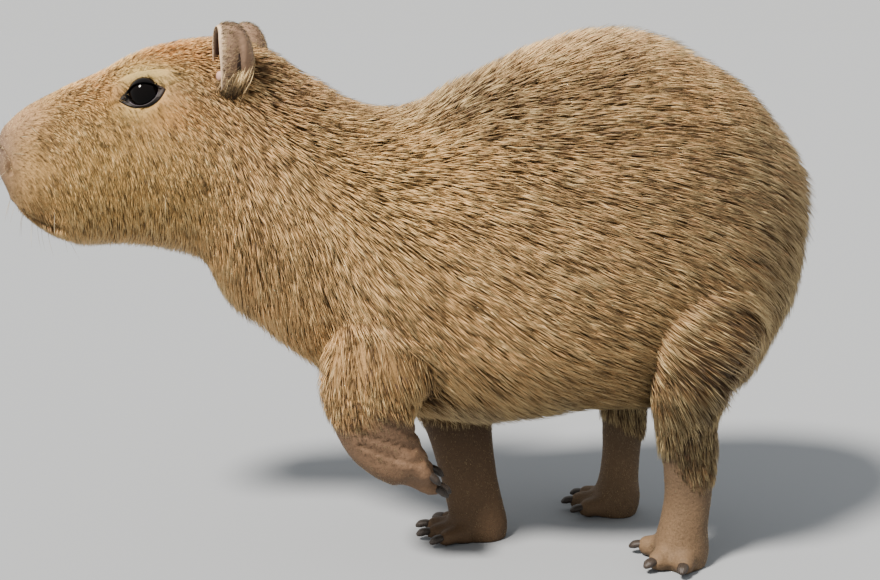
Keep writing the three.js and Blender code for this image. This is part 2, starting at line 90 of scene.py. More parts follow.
RIGHT_FORELEG = np.array([
    row(-28, 255, 60, 248, 28, 8, y=54),
    row(-30, 200, 66, 192, 36, 8, y=55),
    row(-18, 160, 74, 152, 32, 6, y=44),
    row(-3, 128, 78, 124, 27, 3, y=29),
    row(17, 94, 79, 94, 22, 2, y=16),
    row(30, 58, 82, 58, 19, 1, y=9),
    row(36, 34, 87, 34, 19, 1, y=6),
    row(40, 14, 92, 12, 21, 1, y=5),
    row(44, SOLE, 90, SOLE, 20, 1, y=5),
])
LEFT_HINDLEG = np.array([
    row(200, 300, 286, 285, 30, 10, y=-52),
    row(178, 220, 288, 207, 44, 10, y=-74),
    row(188, 160, 268, 158, 38, 9, y=-72),
    row(199, 128, 258, 130, 30, 7, y=-66),
    row(205, 105, 257, 108, 25, 5, y=-62),
    row(212, 79, 255, 79, 21, 1.5, y=-59),
    row(214, 56, 254, 58, 20, 1, y=-57),
    row(211, 34, 252, 32, 22, 1, y=-56),
    row(207, 14, 254, 14, 24, 1, y=-55),
    row(209, SOLE, 251, SOLE, 23, 1, y=-55),
])
RIGHT_HINDLEG = np.array([
    row(180, 300, 268, 285, 30, 10, y=52),
    row(152, 220, 266, 207, 44, 10, y=74),
    row(160, 160, 244, 158, 38, 9, y=74),
    row(170, 128, 232, 130, 30, 7, y=69),
    row(174, 105, 222, 108, 25, 5, y=67),
    row(177, 79, 217, 79, 21, 1.5, y=66),
    row(178, 56, 214, 58, 20, 1, y=66),
    row(176, 34, 213, 32, 22, 1, y=66),
    row(171, 14, 215, 14, 24, 1, y=66),
    row(173, SOLE, 211, SOLE, 23, 1, y=66),
])
LEGS = [LEFT_FORELEG, RIGHT_FORELEG, LEFT_HINDLEG, RIGHT_HINDLEG]
TOES = {
    "forepaw_left": [
        ((0, -87, 98), (27, -84, 80), 8.5),
        ((-8, -78, 87), (33, -75, 66), 8.5),
        ((-10, -65, 84), (35, -61, 64), 8.5),
        ((-2, -56, 92), (29, -50, 75), 8),
    ],
    "forepaw_right": [
        ((56, -10, 7), (30, -24, 5), 8.5),
        ((54, 0, 7), (19, -6, 5), 8.5),
        ((54, 11, 7), (18, 14, 5), 8.5),
        ((58, 20, 7), (32, 33, 5), 8),
    ],
    "hindfoot_left": [
        ((222, -44, 8.5), (197, -38, 6), 10.5),
        ((224, -60, 8.5), (202, -78, 6), 10.5),
        ((234, -64, 8), (226, -89, 6), 10),
    ],
    "hindfoot_right": [
        ((186, 54, 8), (156, 48, 6), 10),
        ((184, 66, 8.5), (150, 70, 6), 10.5),
        ((188, 78, 8), (160, 92, 6), 10),
    ],
}
CORE_SHARE = 0.45


def smooth_through(rows, t):
    last = len(rows) - 1
    ends = np.vstack([2 * rows[0] - rows[1], rows, 2 * rows[-1] - rows[-2]])
    step = np.clip(t, 0, 1) * last
    i = np.minimum(step.astype(int), last - 1)
    s = (step - i)[:, None]
    before, start, end, after = (ends[i + j] for j in range(4))
    leaving = (end - before) / 2
    arriving = (after - start) / 2
    bend = 3 * (end - start) - 2 * leaving - arriving
    turn_back = 2 * (start - end) + leaving + arriving
    return start + leaving * s + bend * s**2 + turn_back * s**3


def middle_of(v):
    return np.stack([(v[:, 0] + v[:, 3]) / 2, v[:, 5], (v[:, 1] + v[:, 4]) / 2], 1)


def cross_section(rows, t, share=0.0, round_ends=False):
    last = len(rows) - 1
    along = np.clip(t, 0, 1)
    v = smooth_through(rows, along)
    inset = v[:, 6] * (1 - share)
    full = v
    middle = middle_of(v)
    size = np.ones(len(v))
    if round_ends:
        step = np.minimum(along, 1 - along) * last
        end = step < 1
        front = along > 0.5
        pole = smooth_through(rows, front.astype(float))
        next_to_it = smooth_through(rows, np.where(front, 1 - 1 / last, 1 / last))
        full = np.where(end[:, None], next_to_it, v)
        drawn = inset / np.linalg.norm(middle_of(pole) - middle_of(full) + 1e-9, axis=1)
        quarter = np.minimum(step, 1) * math.pi / 2
        swell = drawn + (1 - drawn) * (1 - np.cos(quarter))
        rounded = middle_of(pole) + (middle_of(full) - middle_of(pole)) * swell[:, None]
        middle = np.where(end[:, None], rounded, middle)
        size = np.where(end, np.sin(quarter), 1.0)
    half = np.stack([(full[:, 0] - full[:, 3]) / 2, 0 * size, (full[:, 1] - full[:, 4]) / 2], 1)
    half *= (size * (1 - inset / np.linalg.norm(half, axis=1)))[:, None]
    return middle, half, size * (full[:, 2] - inset), v[:, 7], v[:, 8]


def power(c, n):
    return np.sign(c) * np.abs(c) ** (2 / n)


def on_body_part(rows, t, turn, share=0.0, round_ends=False):
    middle, half, width, n, k = cross_section(rows, t, share, round_ends)
    up = power(np.cos(turn), n)
    side = power(np.sin(turn), n) * (1 - k * up)
    p = middle + half * up[:, None]
    p[:, 1] -= side * width
    return p


def seen_on_face(x, z, share=0.0):
    low, high = 0.55, 1.0
    for _ in range(40):
        t = (low + high) / 2
        middle, half, _, _, _ = cross_section(BODY, np.array([t]), share, True)
        ahead = (x - middle[0, 0]) * half[0, 2] - (z - middle[0, 2]) * half[0, 0] < 0
        low, high = (t, high) if ahead else (low, t)
    middle, half, _, n, _ = cross_section(BODY, np.array([low]), share, True)
    up = ((x - middle[0, 0]) * half[0, 0] + (z - middle[0, 2]) * half[0, 2]) / (half[0] @ half[0])
    turn = math.acos(np.sign(up) * abs(up) ** (n[0] / 2))
    return on_body_part(BODY, np.array([low]), np.array([turn]), share, True)[0]


def unit(v):
    v = np.asarray(v, float)
    return v / (np.linalg.norm(v, axis=-1, keepdims=True) + 1e-12)


# Where the sizes above lie in the frame: the frame's left eye says how far the whole was moved
EYE_RADIUS = 13
EYE_DEPTH = 8.5
EYE_TILT = 0.32
eye_out = unit((-0.1, -1, 0.12))
eye_long = np.array([math.cos(EYE_TILT), 0, math.sin(EYE_TILT)])
eye_long = unit(eye_long - eye_out * (eye_long @ eye_out))
eye_up = np.cross(eye_out, eye_long)
eye_up *= np.sign(eye_up[2])
eye_centre = seen_on_face(-199, 382, CORE_SHARE) - eye_out * EYE_DEPTH
eye_low, eye_high = (np.array(c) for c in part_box("eye_left"))
moved = (eye_low + eye_high) / 2 / MM - eye_centre
moved[1] = moved[1] if abs(moved[1]) > 0.5 else 0.0


def placed(points):
    return (np.asarray(points, float) + moved) * MM


def stretched(bm, rings, sides, place):
    made = bmesh.ops.create_uvsphere(bm, u_segments=sides, v_segments=rings, radius=1.0)["verts"]
    co = np.array([v.co for v in made])
    ring = np.arccos(np.clip(co[:, 2], -1, 1)) / math.pi * rings
    turn = np.arctan2(co[:, 1], co[:, 0])
    on_pole = (ring < 0.5) | (ring > rings - 0.5)
    t = np.where(on_pole, np.round(ring / rings), (ring - 0.5) / (rings - 1))
    points = place(t, turn)
    centres = (place(t, 0 * turn) + place(t, 0 * turn + math.pi)) / 2
    points = np.where(on_pole[:, None], centres, points)
    for v, p in zip(made, placed(points)):
        v.co = p
    return made


def rod(bm, points, rings, sides, thick, flat=1.0):
    stops = np.array(points, float)
    wide = np.hstack([stops, np.zeros((len(stops), 6))])

    def place(t, turn):
        at = smooth_through(wide, t)[:, :3]
        ahead = unit(smooth_through(wide, t + 0.01)[:, :3] - smooth_through(wide, t - 0.01)[:, :3])
        side = unit(np.cross(np.array([0.0, 0.0, 1.0]), ahead))
        up = np.cross(ahead, side)
        r = thick(t)[:, None]
        return at + side * r * np.sin(turn)[:, None] + up * r * flat * np.cos(turn)[:, None]

    return stretched(bm, rings, sides, place)


def toe_thickness(radius):
    def thick(t):
        end = 1 - np.maximum(0, t - 0.62) ** 2 / 0.15
        knuckle = 1 + 0.07 * np.sin(t * 9) * (t < 0.8)
        return radius * np.sqrt(np.maximum(end, 0.02)) * (1 - 0.1 * t) * knuckle
    return thick


def new_object(name, bm_or_mesh):
    if isinstance(bm_or_mesh, bmesh.types.BMesh):
        mesh = bpy.data.meshes.new(name)
        bm_or_mesh.to_mesh(mesh)
        bm_or_mesh.free()
    else:
        mesh = bm_or_mesh
        mesh.name = name
    piece = bpy.data.objects.new(name, mesh)
    bpy.context.scene.collection.objects.link(piece)
    return piece


def apply_modifiers(piece):
    bpy.context.view_layer.update()
    seen = piece.evaluated_get(bpy.context.evaluated_depsgraph_get())
    mesh = bpy.data.meshes.new_from_object(seen)
    piece.modifiers.clear()
    piece.data = mesh


def shade_smooth(mesh):
    mesh.polygons.foreach_set("use_smooth", np.ones(len(mesh.polygons), bool))


bm = bmesh.new()
stretched(bm, 200, 96, lambda t, turn: on_body_part(BODY, t, turn, 0.0, True))
for leg in LEGS:
    stretched(bm, 80, 48, lambda t, turn: on_body_part(leg, t, turn))
for toes in TOES.values():
    for root, tip, radius in toes:
        root, tip = np.array(root, float), np.array(tip, float)
        knuckle = (root + tip) / 2 + (0, 0, 2)
        rod(bm, (root, knuckle, tip), 20, 20, toe_thickness(radius - 0.4))
skin = new_object("skin", bm)
SMOOTHINGS = 5
SKIN_VOXEL = 0.003
FINE_AHEAD_OF = -262  # the muzzle ahead of this x and the skin this near an eye get a finer mesh
FINE_ROUND_EYE = 34
remesh = skin.modifiers.new("one_hide", "REMESH")
remesh.mode = "VOXEL"
remesh.voxel_size = SKIN_VOXEL
apply_modifiers(skin)

bm = bmesh.new()
bm.from_mesh(skin.data)
for _ in range(SMOOTHINGS):
    bmesh.ops.smooth_vert(bm, verts=bm.verts, factor=0.5, use_axis_x=True, use_axis_y=True, use_axis_z=True)
face_edges = [e for e in bm.edges if e.verts[0].co.x < (FINE_AHEAD_OF + moved[0]) * MM]
eye_spots = [Vector(placed(eye_centre)), Vector(placed(eye_centre * (1, -1, 1)))]
eye_reach = FINE_ROUND_EYE * MM
eye_edges = [e for e in bm.edges if min((e.verts[0].co - s).length for s in eye_spots) < eye_reach]
bmesh.ops.subdivide_edges(bm, edges=list(set(face_edges + eye_edges)), cuts=1, use_grid_fill=True)
bmesh.ops.triangulate(bm, faces=[f for f in bm.faces if len(f.verts) > 4])
bm.to_mesh(skin.data)
bm.free()


def vertex_places(mesh):
    co = np.empty(len(mesh.vertices) * 3)
    mesh.vertices.foreach_get("co", co)
    return co.reshape(-1, 3)


def vertex_normals(mesh):
    normal = np.empty(len(mesh.vertices) * 3, np.float32)
    mesh.vertex_normals.foreach_get("vector", normal)
    return normal.reshape(-1, 3).astype(float)


def from_line(points, line):
    nearest = np.full(len(points), 1e9)
    for a, b in zip(line[:-1], line[1:]):
        s = np.clip(((points - a) @ (b - a)) / ((b - a) @ (b - a)), 0, 1)
        nearest = np.minimum(nearest, np.linalg.norm(points - (a + s[:, None] * (b - a)), axis=1))
    return nearest


def bump(distance, width):
    return np.exp(-((distance / width) ** 2))


# Mouth, nostrils and the folds of the lifted wrist, as lines in side view, and how deep each is pressed in
MOUTH = [(-312, 293), (-303, 287), (-292, 282), (-281, 279), (-270, 279)]
NOSTRIL = [(-319, 337), (-315, 334), (-311, 328), (-309, 320)]
WRINKLES = [
    [(-42, 143), (-20, 137), (0, 125), (20, 111)],
    [(-45, 130), (-25, 121), (-8, 115), (12, 106)],
    [(-38, 154), (-15, 149), (6, 140)],
    [(-30, 112), (-12, 105), (2, 99), (18, 96)],
]
MOUTH_DEPTH = 4.2
NOSTRIL_DEPTH = 6.5
CLEFT_DEPTH = 2.2
WRINKLE_DEPTH = 1.5
BROW_HEIGHT = 1.8
mouth_line = np.array([seen_on_face(x, z) for x, z in MOUTH])
nostril_line = np.array([seen_on_face(x, z) for x, z in NOSTRIL])


def on_left(points):
    return points * (1, 0, 1) - np.abs(points) * (0, 1, 0)


co = vertex_places(skin.data) / MM - moved
normal = vertex_normals(skin.data)
left_co = on_left(co)
rise = -MOUTH_DEPTH * bump(from_line(left_co, mouth_line), 1.9)
rise += 1.6 * bump(from_line(left_co, mouth_line + (0, 0, 5)), 3.4)
rise += 1.3 * bump(from_line(left_co, mouth_line - (0, 0, 5)), 3.2)
rise -= NOSTRIL_DEPTH * bump(from_line(left_co, nostril_line), 2.2)
rise += 1.8 * bump(from_line(left_co, nostril_line + (5, -1, 2)), 3.6)
cleft = bump(co[:, 1], 1.5) * (co[:, 0] < -300) * (co[:, 2] < 322) * (co[:, 2] > 284)
rise -= CLEFT_DEPTH * cleft
to_eye = left_co - eye_centre
eye_a, eye_b, eye_c = to_eye @ eye_long, to_eye @ eye_up, to_eye @ eye_out
ring = np.sqrt((eye_a / 19) ** 2 + (eye_b / 12.5) ** 2)
near_eye = (eye_c > 0) & (ring < 3)
brow = BROW_HEIGHT * np.exp(-((ring - 1.3) / 0.4) ** 2) * (1 + 0.6 * np.sign(eye_b))
rise += np.where(near_eye, brow, 0)
lifted = (co[:, 1] < -45) & (co[:, 0] < 60) & (co[:, 2] < 165) & (co[:, 2] > 60)
for fold in WRINKLES:
    flat_fold = np.array([(x, 0, z) for x, z in fold], float)
    away = from_line(co * (1, 0, 1), flat_fold)
    rise += lifted * (0.7 * bump(away - 3.5, 2.0) - WRINKLE_DEPTH * bump(away, 1.5))
co += normal * rise[:, None]
opening = np.sqrt((eye_a / 13.8) ** 2 + ((eye_b + 0.8) / 9.4) ** 2)
sunk = np.where(near_eye & (opening < 1.0), np.minimum(0, 2 - eye_c), 0)
out_both = np.where(co[:, 1:2] < 0, eye_out, eye_out * (1, -1, 1))
co += out_both * sunk[:, None]
co[:, 2] = np.maximum(co[:, 2], 0.25)
skin.data.vertices.foreach_set("co", placed(co).ravel())
skin.data.update()
skin_tree = BVHTree.FromPolygons(
    [tuple(p) for p in vertex_places(skin.data)],
    [tuple(f.vertices) for f in skin.data.polygons],
)

# Colours of the coat in side view, some of them painted shade, laid one over the other: place, reach, colour
# and strength of each mark
COAT_GROUND = "#a98a62"
MARKS_AND_PAINTED_SHADE = [
    ((-20, 300), (110, 80), "#c5a675", 0.8),
    ((120, 250), (80, 70), "#b4956b", 0.6),
    ((190, 300), (110, 70), "#8f7656", 0.7),
    ((40, 374), (95, 32), "#5a4531", 0.9),
    ((-75, 385), (50, 24), "#9b7d5c", 0.75),
    ((150, 425), (110, 26), "#a3896b", 0.8),
    ((285, 320), (62, 100), "#6d5843", 0.8),
    # Lower rear of the rump: dark brown, partly painted shade on the side turned from the lamp
    ((322, 240), (50, 90), "#463626", 0.9),
    # Thigh, belly and shank below: dark brown, partly painted shade under the body
    ((235, 160), (62, 66), "#47371f", 0.92),
    ((100, 118), (140, 34), "#453319", 0.9),
    ((228, 100), (60, 38), "#453722", 0.9),
    ((-10, 165), (50, 24), "#92774f", 0.7),
    ((-235, 315), (60, 55), "#dcb877", 0.95),
    ((-190, 300), (40, 60), "#cdab70", 0.8),
    ((-195, 268), (80, 16), "#9a7a52", 0.7),
    ((-190, 416), (50, 15), "#b07c42", 0.9),
    ((-242, 396), (36, 14), "#ad7f4e", 0.7),
    ((-199, 396), (26, 9), "#ecd28f", 0.9),
    ((-206, 368), (24, 7), "#e6c885", 0.9),
    ((-176, 366), (28, 13), "#b3864f", 0.6),
    ((-232, 374), (22, 10), "#b98d54", 0.5),
    ((-276, 340), (26, 30), "#c2a06c", 0.7),
    ((-322, 342), (26, 54), "#69584d", 0.96),
    ((-300, 362), (22, 16), "#a08366", 0.7),
    # Painted shade in the fold at the corner of the mouth
    ((-288, 280), (14, 9), "#7a5d3c", 0.75),
    # Painted shadow that the ear casts on the neck behind it
    ((-108, 398), (16, 22), "#6d5238", 0.7),
]
ARM_COLOUR = "#5e4c3e"
# The standing foreleg is darker than the lifted one, partly its own colour and partly painted shade under
# the body
SUPPORT_COLOUR_AND_SHADE = "#45372b"
HIND_COLOUR = "#56483a"
# A hair is paler and warmer than the coat looks, because the gaps between hairs are dark
COAT_PALER = 2.3
COAT_WARMER = 1.22
COAT_PALEST = 0.86
COAT_DARKEST = 0.004


def linear(hex_colour):
    srgb = np.array([int(hex_colour[i:i + 2], 16) / 255 for i in (1, 3, 5)])
    return np.where(srgb <= 0.04045, srgb / 12.92, ((srgb + 0.055) / 1.055) ** 2.4)


def wave(points, scale, seed):
    p = np.asarray(points) / scale
    a, b, c = seed * 1.7, seed * 2.3, seed * 0.9
    x = np.sin(p[:, 0] + 1.3 * np.sin(p[:, 2] * 0.8 + a) + b)
    z = np.sin(p[:, 2] * 1.2 + 1.1 * np.sin(p[:, 0] * 0.9 + c) + a)
    return (x + z + np.sin(p[:, 1] * 1.1 + x * 1.5 + c)) / 3


# Heights at which the long coat ends on each leg, how steeply that edge falls, and how soft and ragged it is
ARM_EDGE = 143
SUPPORT_EDGE = 112
HIND_EDGE = 96
HIND_EDGE_AT = {"left": 225, "right": 195}
HIND_EDGE_SLOPE = 0.55
EDGE_FADE = 14
EDGE_RAGGED = 9
BEHIND_FORELEGS = 110
LEGS_BELOW = 175


def bare_share(p):
    """How far the long coat has given way to the short nap of the lower legs, from 0 to 1"""
    lifted_leg = (p[:, 0] < 70) & (p[:, 1] < -35)
    hind = p[:, 0] > BEHIND_FORELEGS
    hind_middle = np.where(p[:, 1] > 0, HIND_EDGE_AT["right"], HIND_EDGE_AT["left"])
    edge = np.where(hind, HIND_EDGE - HIND_EDGE_SLOPE * (p[:, 0] - hind_middle), SUPPORT_EDGE)
    edge = np.where(lifted_leg, ARM_EDGE + 0.1 * p[:, 0], edge)
    return np.clip((edge + EDGE_RAGGED * wave(p, 9, 4) - p[:, 2]) / EDGE_FADE, 0, 1)


def tint_at(points):
    p = np.asarray(points, float)
    colour = np.tile(linear(COAT_GROUND), (len(p), 1))
    for (x, z), (reach_x, reach_z), shade, strength in MARKS_AND_PAINTED_SHADE:
        away = ((p[:, 0] - x) / reach_x) ** 2 + ((p[:, 2] - z) / reach_z) ** 2
        colour += (linear(shade) - colour) * (strength * np.exp(-away)[:, None])
    arm = (p[:, 0] < 70) & (p[:, 1] < -35)
    leg = np.where(arm[:, None], linear(ARM_COLOUR), linear(SUPPORT_COLOUR_AND_SHADE))
    leg = np.where((p[:, 0] > BEHIND_FORELEGS)[:, None], linear(HIND_COLOUR), leg)
    colour += (leg - colour) * (bare_share(p) * (p[:, 2] < LEGS_BELOW) * 0.9)[:, None]
    colour = colour**COAT_WARMER * COAT_PALER
    colour *= (1 + 0.13 * wave(p, 26, 3) + 0.09 * wave(p, 9, 5))[:, None]
    too_pale = np.maximum(1, colour.max(axis=1, keepdims=True) / COAT_PALEST)
    return np.maximum(colour / too_pale, COAT_DARKEST)


def set_tint(mesh, colours, name="tint"):
    layer = mesh.attributes.new(name, "FLOAT_COLOR", "POINT")
    with_alpha = np.hstack([colours, np.ones((len(colours), 1))])
    layer.data.foreach_set("color", with_alpha.astype(np.float32).ravel())


def add_node(tree, kind, settings=(), inputs=(), links=()):
    node = tree.nodes.new(kind)
    for name, value in dict(settings).items():
        setattr(node, name, value)
    for name, value in dict(inputs).items():
        node.inputs[name].default_value = value
    for name, source in dict(links).items():
        tree.links.new(source, node.inputs[name])
    return node


def new_material(name):
    material = bpy.data.materials.new(name)
    material.use_nodes = True
    material.node_tree.nodes.clear()
    return material, material.node_tree


# Hide with a short nap: dull, a little oily on the paws, so the shine is broad and weak. Hairs about 0.5
# mm apart and the folds of the paw are drawn as fine bumps, both a little coarser than life so that they
# show.
hide, tree = new_material("hide_with_short_nap")
coords = add_node(tree, "ShaderNodeTexCoord").outputs["Object"]
nap = add_node(
    tree, "ShaderNodeTexNoise",
    inputs={"Scale": 900.0, "Detail": 3.0, "Roughness": 0.6, "Distortion": 0.4},
    links={"Vector": coords},
)
folds = add_node(
    tree, "ShaderNodeTexVoronoi",
    settings={"feature": "DISTANCE_TO_EDGE"},
    inputs={"Scale": 210.0, "Randomness": 1.0},
    links={"Vector": coords},
)
tint = add_node(tree, "ShaderNodeAttribute", settings={"attribute_name": "tint"})
grain = add_node(
    tree, "ShaderNodeMapRange",
    inputs={"From Min": 0.3, "From Max": 0.7, "To Min": 0.72, "To Max": 1.12},
    links={"Value": nap.outputs["Fac"]},
)
hide_colour = add_node(
    tree, "ShaderNodeVectorMath", settings={"operation": "SCALE"},
    links={0: tint.outputs["Color"], "Scale": grain.outputs["Result"]},
)
fold_bump = add_node(
    tree, "ShaderNodeBump", inputs={"Strength": 0.35, "Distance": 0.0012},
    links={"Height": folds.outputs["Distance"]},
)
nap_bump = add_node(
    tree, "ShaderNodeBump", inputs={"Strength": 0.5, "Distance": 0.0008},
    links={"Height": nap.outputs["Fac"], "Normal": fold_bump.outputs["Normal"]},
)
shader = add_node(
    tree, "ShaderNodeBsdfPrincipled",
    inputs={"Roughness": 0.72, "IOR": 1.45, "Specular IOR Level": 0.3},
    links={"Base Color": hide_colour.outputs["Vector"], "Normal": nap_bump.outputs["Normal"]},
)
add_node(tree, "ShaderNodeOutputMaterial", links={"Surface": shader.outputs["BSDF"]})
shade_smooth(skin.data)
CREASE_SHADE_COLOUR = "#2b1f1a"
hide_tint = tint_at(co)
# Painted shade: the hide is darker deep between long hairs, also on the face, and darker still in creases,
# nostrils and mouth
shaded = np.clip((co[:, 0] + 190) / 90, 0, 1) * (1 - bare_share(co))
hide_tint *= (1 - 0.55 * shaded - 0.6 * (1 - shaded) * (co[:, 2] > 200))[:, None]
creases = bump(from_line(on_left(co), mouth_line), 2.4) + bump(from_line(on_left(co), nostril_line), 2.6)
creases = np.clip(creases, 0, 1)
hide_tint += (linear(CREASE_SHADE_COLOUR) - hide_tint) * (0.9 * creases)[:, None]
# The hide of the lower legs is darker under the nap, painted shade between its hairs
hide_tint *= (1 - 0.35 * bare_share(co) * (co[:, 2] < LEGS_BELOW))[:, None]
set_tint(skin.data, hide_tint)
skin.data.materials.append(hide)
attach(skin, "root")
flesh = ["head", "neck", "torso", "rump"]
flesh += [leg + side for leg in ("foreleg_", "hindleg_") for side in ("left", "right")]
flesh += list(TOES)
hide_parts(*flesh)


# Eyes
# Round, wet and nearly black, a touch browner round the pupil. Each is one polished ball of dark glass,
# sunk in the head so far that a little over a third of its width stands out.
def mirrored(point):
    return np.asarray(point) * (1, -1, 1)


def for_side(side, point):
    return np.asarray(point) if side == "left" else mirrored(point)


def egg(bm, centre, halves, axes, rings=32, sides=48):
    centre = np.asarray(centre, float)

    def place(t, turn):
        polar = t * math.pi
        a = halves[0] * np.sin(polar) * np.cos(turn)
        b = halves[1] * np.sin(polar) * np.sin(turn)
        c = halves[2] * np.cos(polar)
        return centre + np.outer(a, axes[0]) + np.outer(b, axes[1]) + np.outer(c, axes[2])

    made = stretched(bm, rings, sides, place)
    bmesh.ops.recalc_face_normals(bm, faces=bm.faces)
    return made


# Polished glass coloured through: mirror-smooth with one small hard light in it, black underneath
eye_glass, tree = new_material("dark_eye_glass")
facing = add_node(tree, "ShaderNodeAttribute", settings={"attribute_name": "to_pupil"})
iris = add_node(tree, "ShaderNodeValToRGB", links={"Fac": facing.outputs["Fac"]})
iris.color_ramp.elements[0].position = 0.45
iris.color_ramp.elements[0].color = (*linear("#060404"), 1)
iris.color_ramp.elements[1].position = 0.62
iris.color_ramp.elements[1].color = (*linear("#170d08"), 1)
shader = add_node(
    tree, "ShaderNodeBsdfPrincipled",
    inputs={"Roughness": 0.04, "IOR": 1.38, "Specular IOR Level": 0.16},
    links={"Base Color": iris.outputs["Color"]},
)
add_node(tree, "ShaderNodeOutputMaterial", links={"Surface": shader.outputs["BSDF"]})
BALL_RADIUS = EYE_RADIUS + 0.6
for side in ("left", "right"):
    axes = [for_side(side, eye_long), for_side(side, eye_up), for_side(side, eye_out)]
    bm = bmesh.new()
    egg(bm, for_side(side, eye_centre), (BALL_RADIUS, BALL_RADIUS, BALL_RADIUS), axes)
    ball = new_object("eyeball_" + side, bm)
    shade_smooth(ball.data)
    away = unit(vertex_places(ball.data) / MM - moved - for_side(side, eye_centre)) @ axes[2]
    to_pupil = ball.data.attributes.new("to_pupil", "FLOAT", "POINT")
    to_pupil.data.foreach_set("value", (1 - away).astype(np.float32))
    ball.data.materials.append(eye_glass)
    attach(ball, "root")
    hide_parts("eye_" + side)


# Lids
# A thin dark hairless rim round each eye, drawn out to a point at both corners, with a grey wet edge below.
# Each is one closed ring of skin that lies on the ball at its inner edge and runs out under the fur.
OPENING = (12.4, 12.4, 7.8, 9.2)  # half sizes towards the outer and the inner corner, up and down
LID_EDGE = (18.5, 20.0, 9.0, 10.6)
# Each ring: its share of the way from opening to edge, and how far it stands off the ball and the hide
LID_RINGS = [
    (-0.16, -1.2, None),
    (0.0, 0.1, None),
    (0.05, 0.7, 0.2),
    (0.12, 1.1, 0.8),
    (0.3, 1.6, 1.3),
    (0.6, 1.2, 1.5),
    (0.85, None, 0.9),
    (1.1, None, -0.8),
    (1.0, None, -4.0),
]
LID_SIDES = 96
LOOK_FROM = 30  # how far outside the eye the hide is looked for
LID_COLOURS = {
    "upper": "#090706",
    "lower": "#171211",
    "wet": "#615a64",
    "outer": "#2b211e",
    "inner": "#1a1513",
}


def almond(sizes, turn, point):
    a = np.where(np.cos(turn) > 0, sizes[0], sizes[1]) * np.cos(turn)
    rise = np.sign(np.sin(turn)) * np.abs(np.sin(turn)) ** point
    return a, np.where(np.sin(turn) > 0, sizes[2], sizes[3]) * rise


def hide_level(a, b):
    """How far along eye_out the hide lies from the ball's centre, as seen from outside"""
    level = []
    for p in placed(eye_centre + np.outer(a, eye_long) + np.outer(b, eye_up) + LOOK_FROM * eye_out):
        hit = skin_tree.ray_cast(Vector(p), Vector(-eye_out))
        level.append(LOOK_FROM - hit[3] / MM)
    return np.array(level)


lid_turn = np.arange(LID_SIDES) * 2 * math.pi / LID_SIDES
open_a, open_b = almond(OPENING, lid_turn, 1.1)
edge_a, edge_b = almond(LID_EDGE, lid_turn, 1.7)
edge_b -= 1.2 + 1.5 * np.cos(lid_turn)
lid_rings = []
for share, off_ball, off_hide in LID_RINGS:
    a = open_a + (edge_a - open_a) * share
    b = open_b + (edge_b - open_b) * share
    level = hide_level(a, b) + off_hide if off_hide is not None else np.full(LID_SIDES, -99.0)
    if off_ball is not None:
        on_ball = np.sqrt(np.maximum((BALL_RADIUS + off_ball) ** 2 - a**2 - b**2, 0))
        level = np.maximum(level, on_ball)
    in_plane = np.outer(a, eye_long) + np.outer(b, eye_up)
    lid_rings.append(eye_centre + in_plane + np.outer(level, eye_out))


# Bare moist skin: satin, with pores 0.7 mm apart
lid_skin, tree = new_material("bare_lid_skin")
coords = add_node(tree, "ShaderNodeTexCoord").outputs["Object"]
pores = add_node(
    tree, "ShaderNodeTexNoise", inputs={"Scale": 1400.0, "Detail": 4.0}, links={"Vector": coords}
)
lid_tint = add_node(tree, "ShaderNodeAttribute", settings={"attribute_name": "lid_tint"})
pore_bump = add_node(
    tree, "ShaderNodeBump", inputs={"Strength": 0.3, "Distance": 0.0005},
    links={"Height": pores.outputs["Fac"]},
)
shader = add_node(
    tree, "ShaderNodeBsdfPrincipled",
    inputs={"Roughness": 0.55, "IOR": 1.4, "Specular IOR Level": 0.25},
    links={"Base Color": lid_tint.outputs["Color"], "Normal": pore_bump.outputs["Normal"]},
)
add_node(tree, "ShaderNodeOutputMaterial", links={"Surface": shader.outputs["BSDF"]})
for side in ("left", "right"):
    bm = bmesh.new()
    loops = []
    for lid_ring in lid_rings:
        circle = bmesh.ops.create_circle(bm, segments=LID_SIDES, radius=1.0, cap_ends=False)["verts"]
        for v, p in zip(circle, placed(for_side(side, lid_ring))):
            v.co = p
        loops.append([e for e in bm.edges if e.verts[0] in circle and e.verts[1] in circle])
    for inner, outer in zip(loops, loops[1:] + loops[:1]):
        bmesh.ops.bridge_loops(bm, edges=inner + outer)
    bmesh.ops.recalc_face_normals(bm, faces=bm.faces)
    lids = new_object("lids_" + side, bm)
    shade_smooth(lids.data)
    local = for_side(side, vertex_places(lids.data) / MM - moved) - eye_centre
    a, b = local @ eye_long, local @ eye_up
    ring_of = np.arange(len(local)) // LID_SIDES
    colours = np.where((b > -1)[:, None], linear(LID_COLOURS["upper"]), linear(LID_COLOURS["lower"]))
    at_corner = np.clip((np.abs(a) - 11) / 4, 0, 1)[:, None]
    corner = np.where((a > 0)[:, None], linear(LID_COLOURS["outer"]), linear(LID_COLOURS["inner"]))
    colours += (corner - colours) * at_corner * 0.9
    wet = (ring_of == 2) & (b < -3) & (np.abs(a) < 12)
    colours = np.where(wet[:, None], linear(LID_COLOURS["wet"]), colours)
    set_tint(lids.data, colours, "lid_tint")
    lids.data.materials.append(lid_skin)
    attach(lids, "root")


# Ears
# Small deep cups of thin skin, set high and far back, open forward, with a thin turned rim, a fold down
# the outer wall and a small lobe in the opening. Each is one ball whose front half is pushed back into
# the rear one.
EAR_HEIGHT = 31
EAR_WIDTH = 19
EAR_DEPTH = 19
EAR_WALL = 1.9
EAR_RIM = 1.12
ear_up = unit((0.12, -0.3, 1))
ear_face = np.array([-0.9, -0.44, 0.0])
ear_face = unit(ear_face - ear_up * (ear_face @ ear_up))
ear_side = np.cross(ear_up, ear_face)
ear_centre = seen_on_face(-131, 396, CORE_SHARE) + (0, -5, 10)
EAR_RINGS = 60


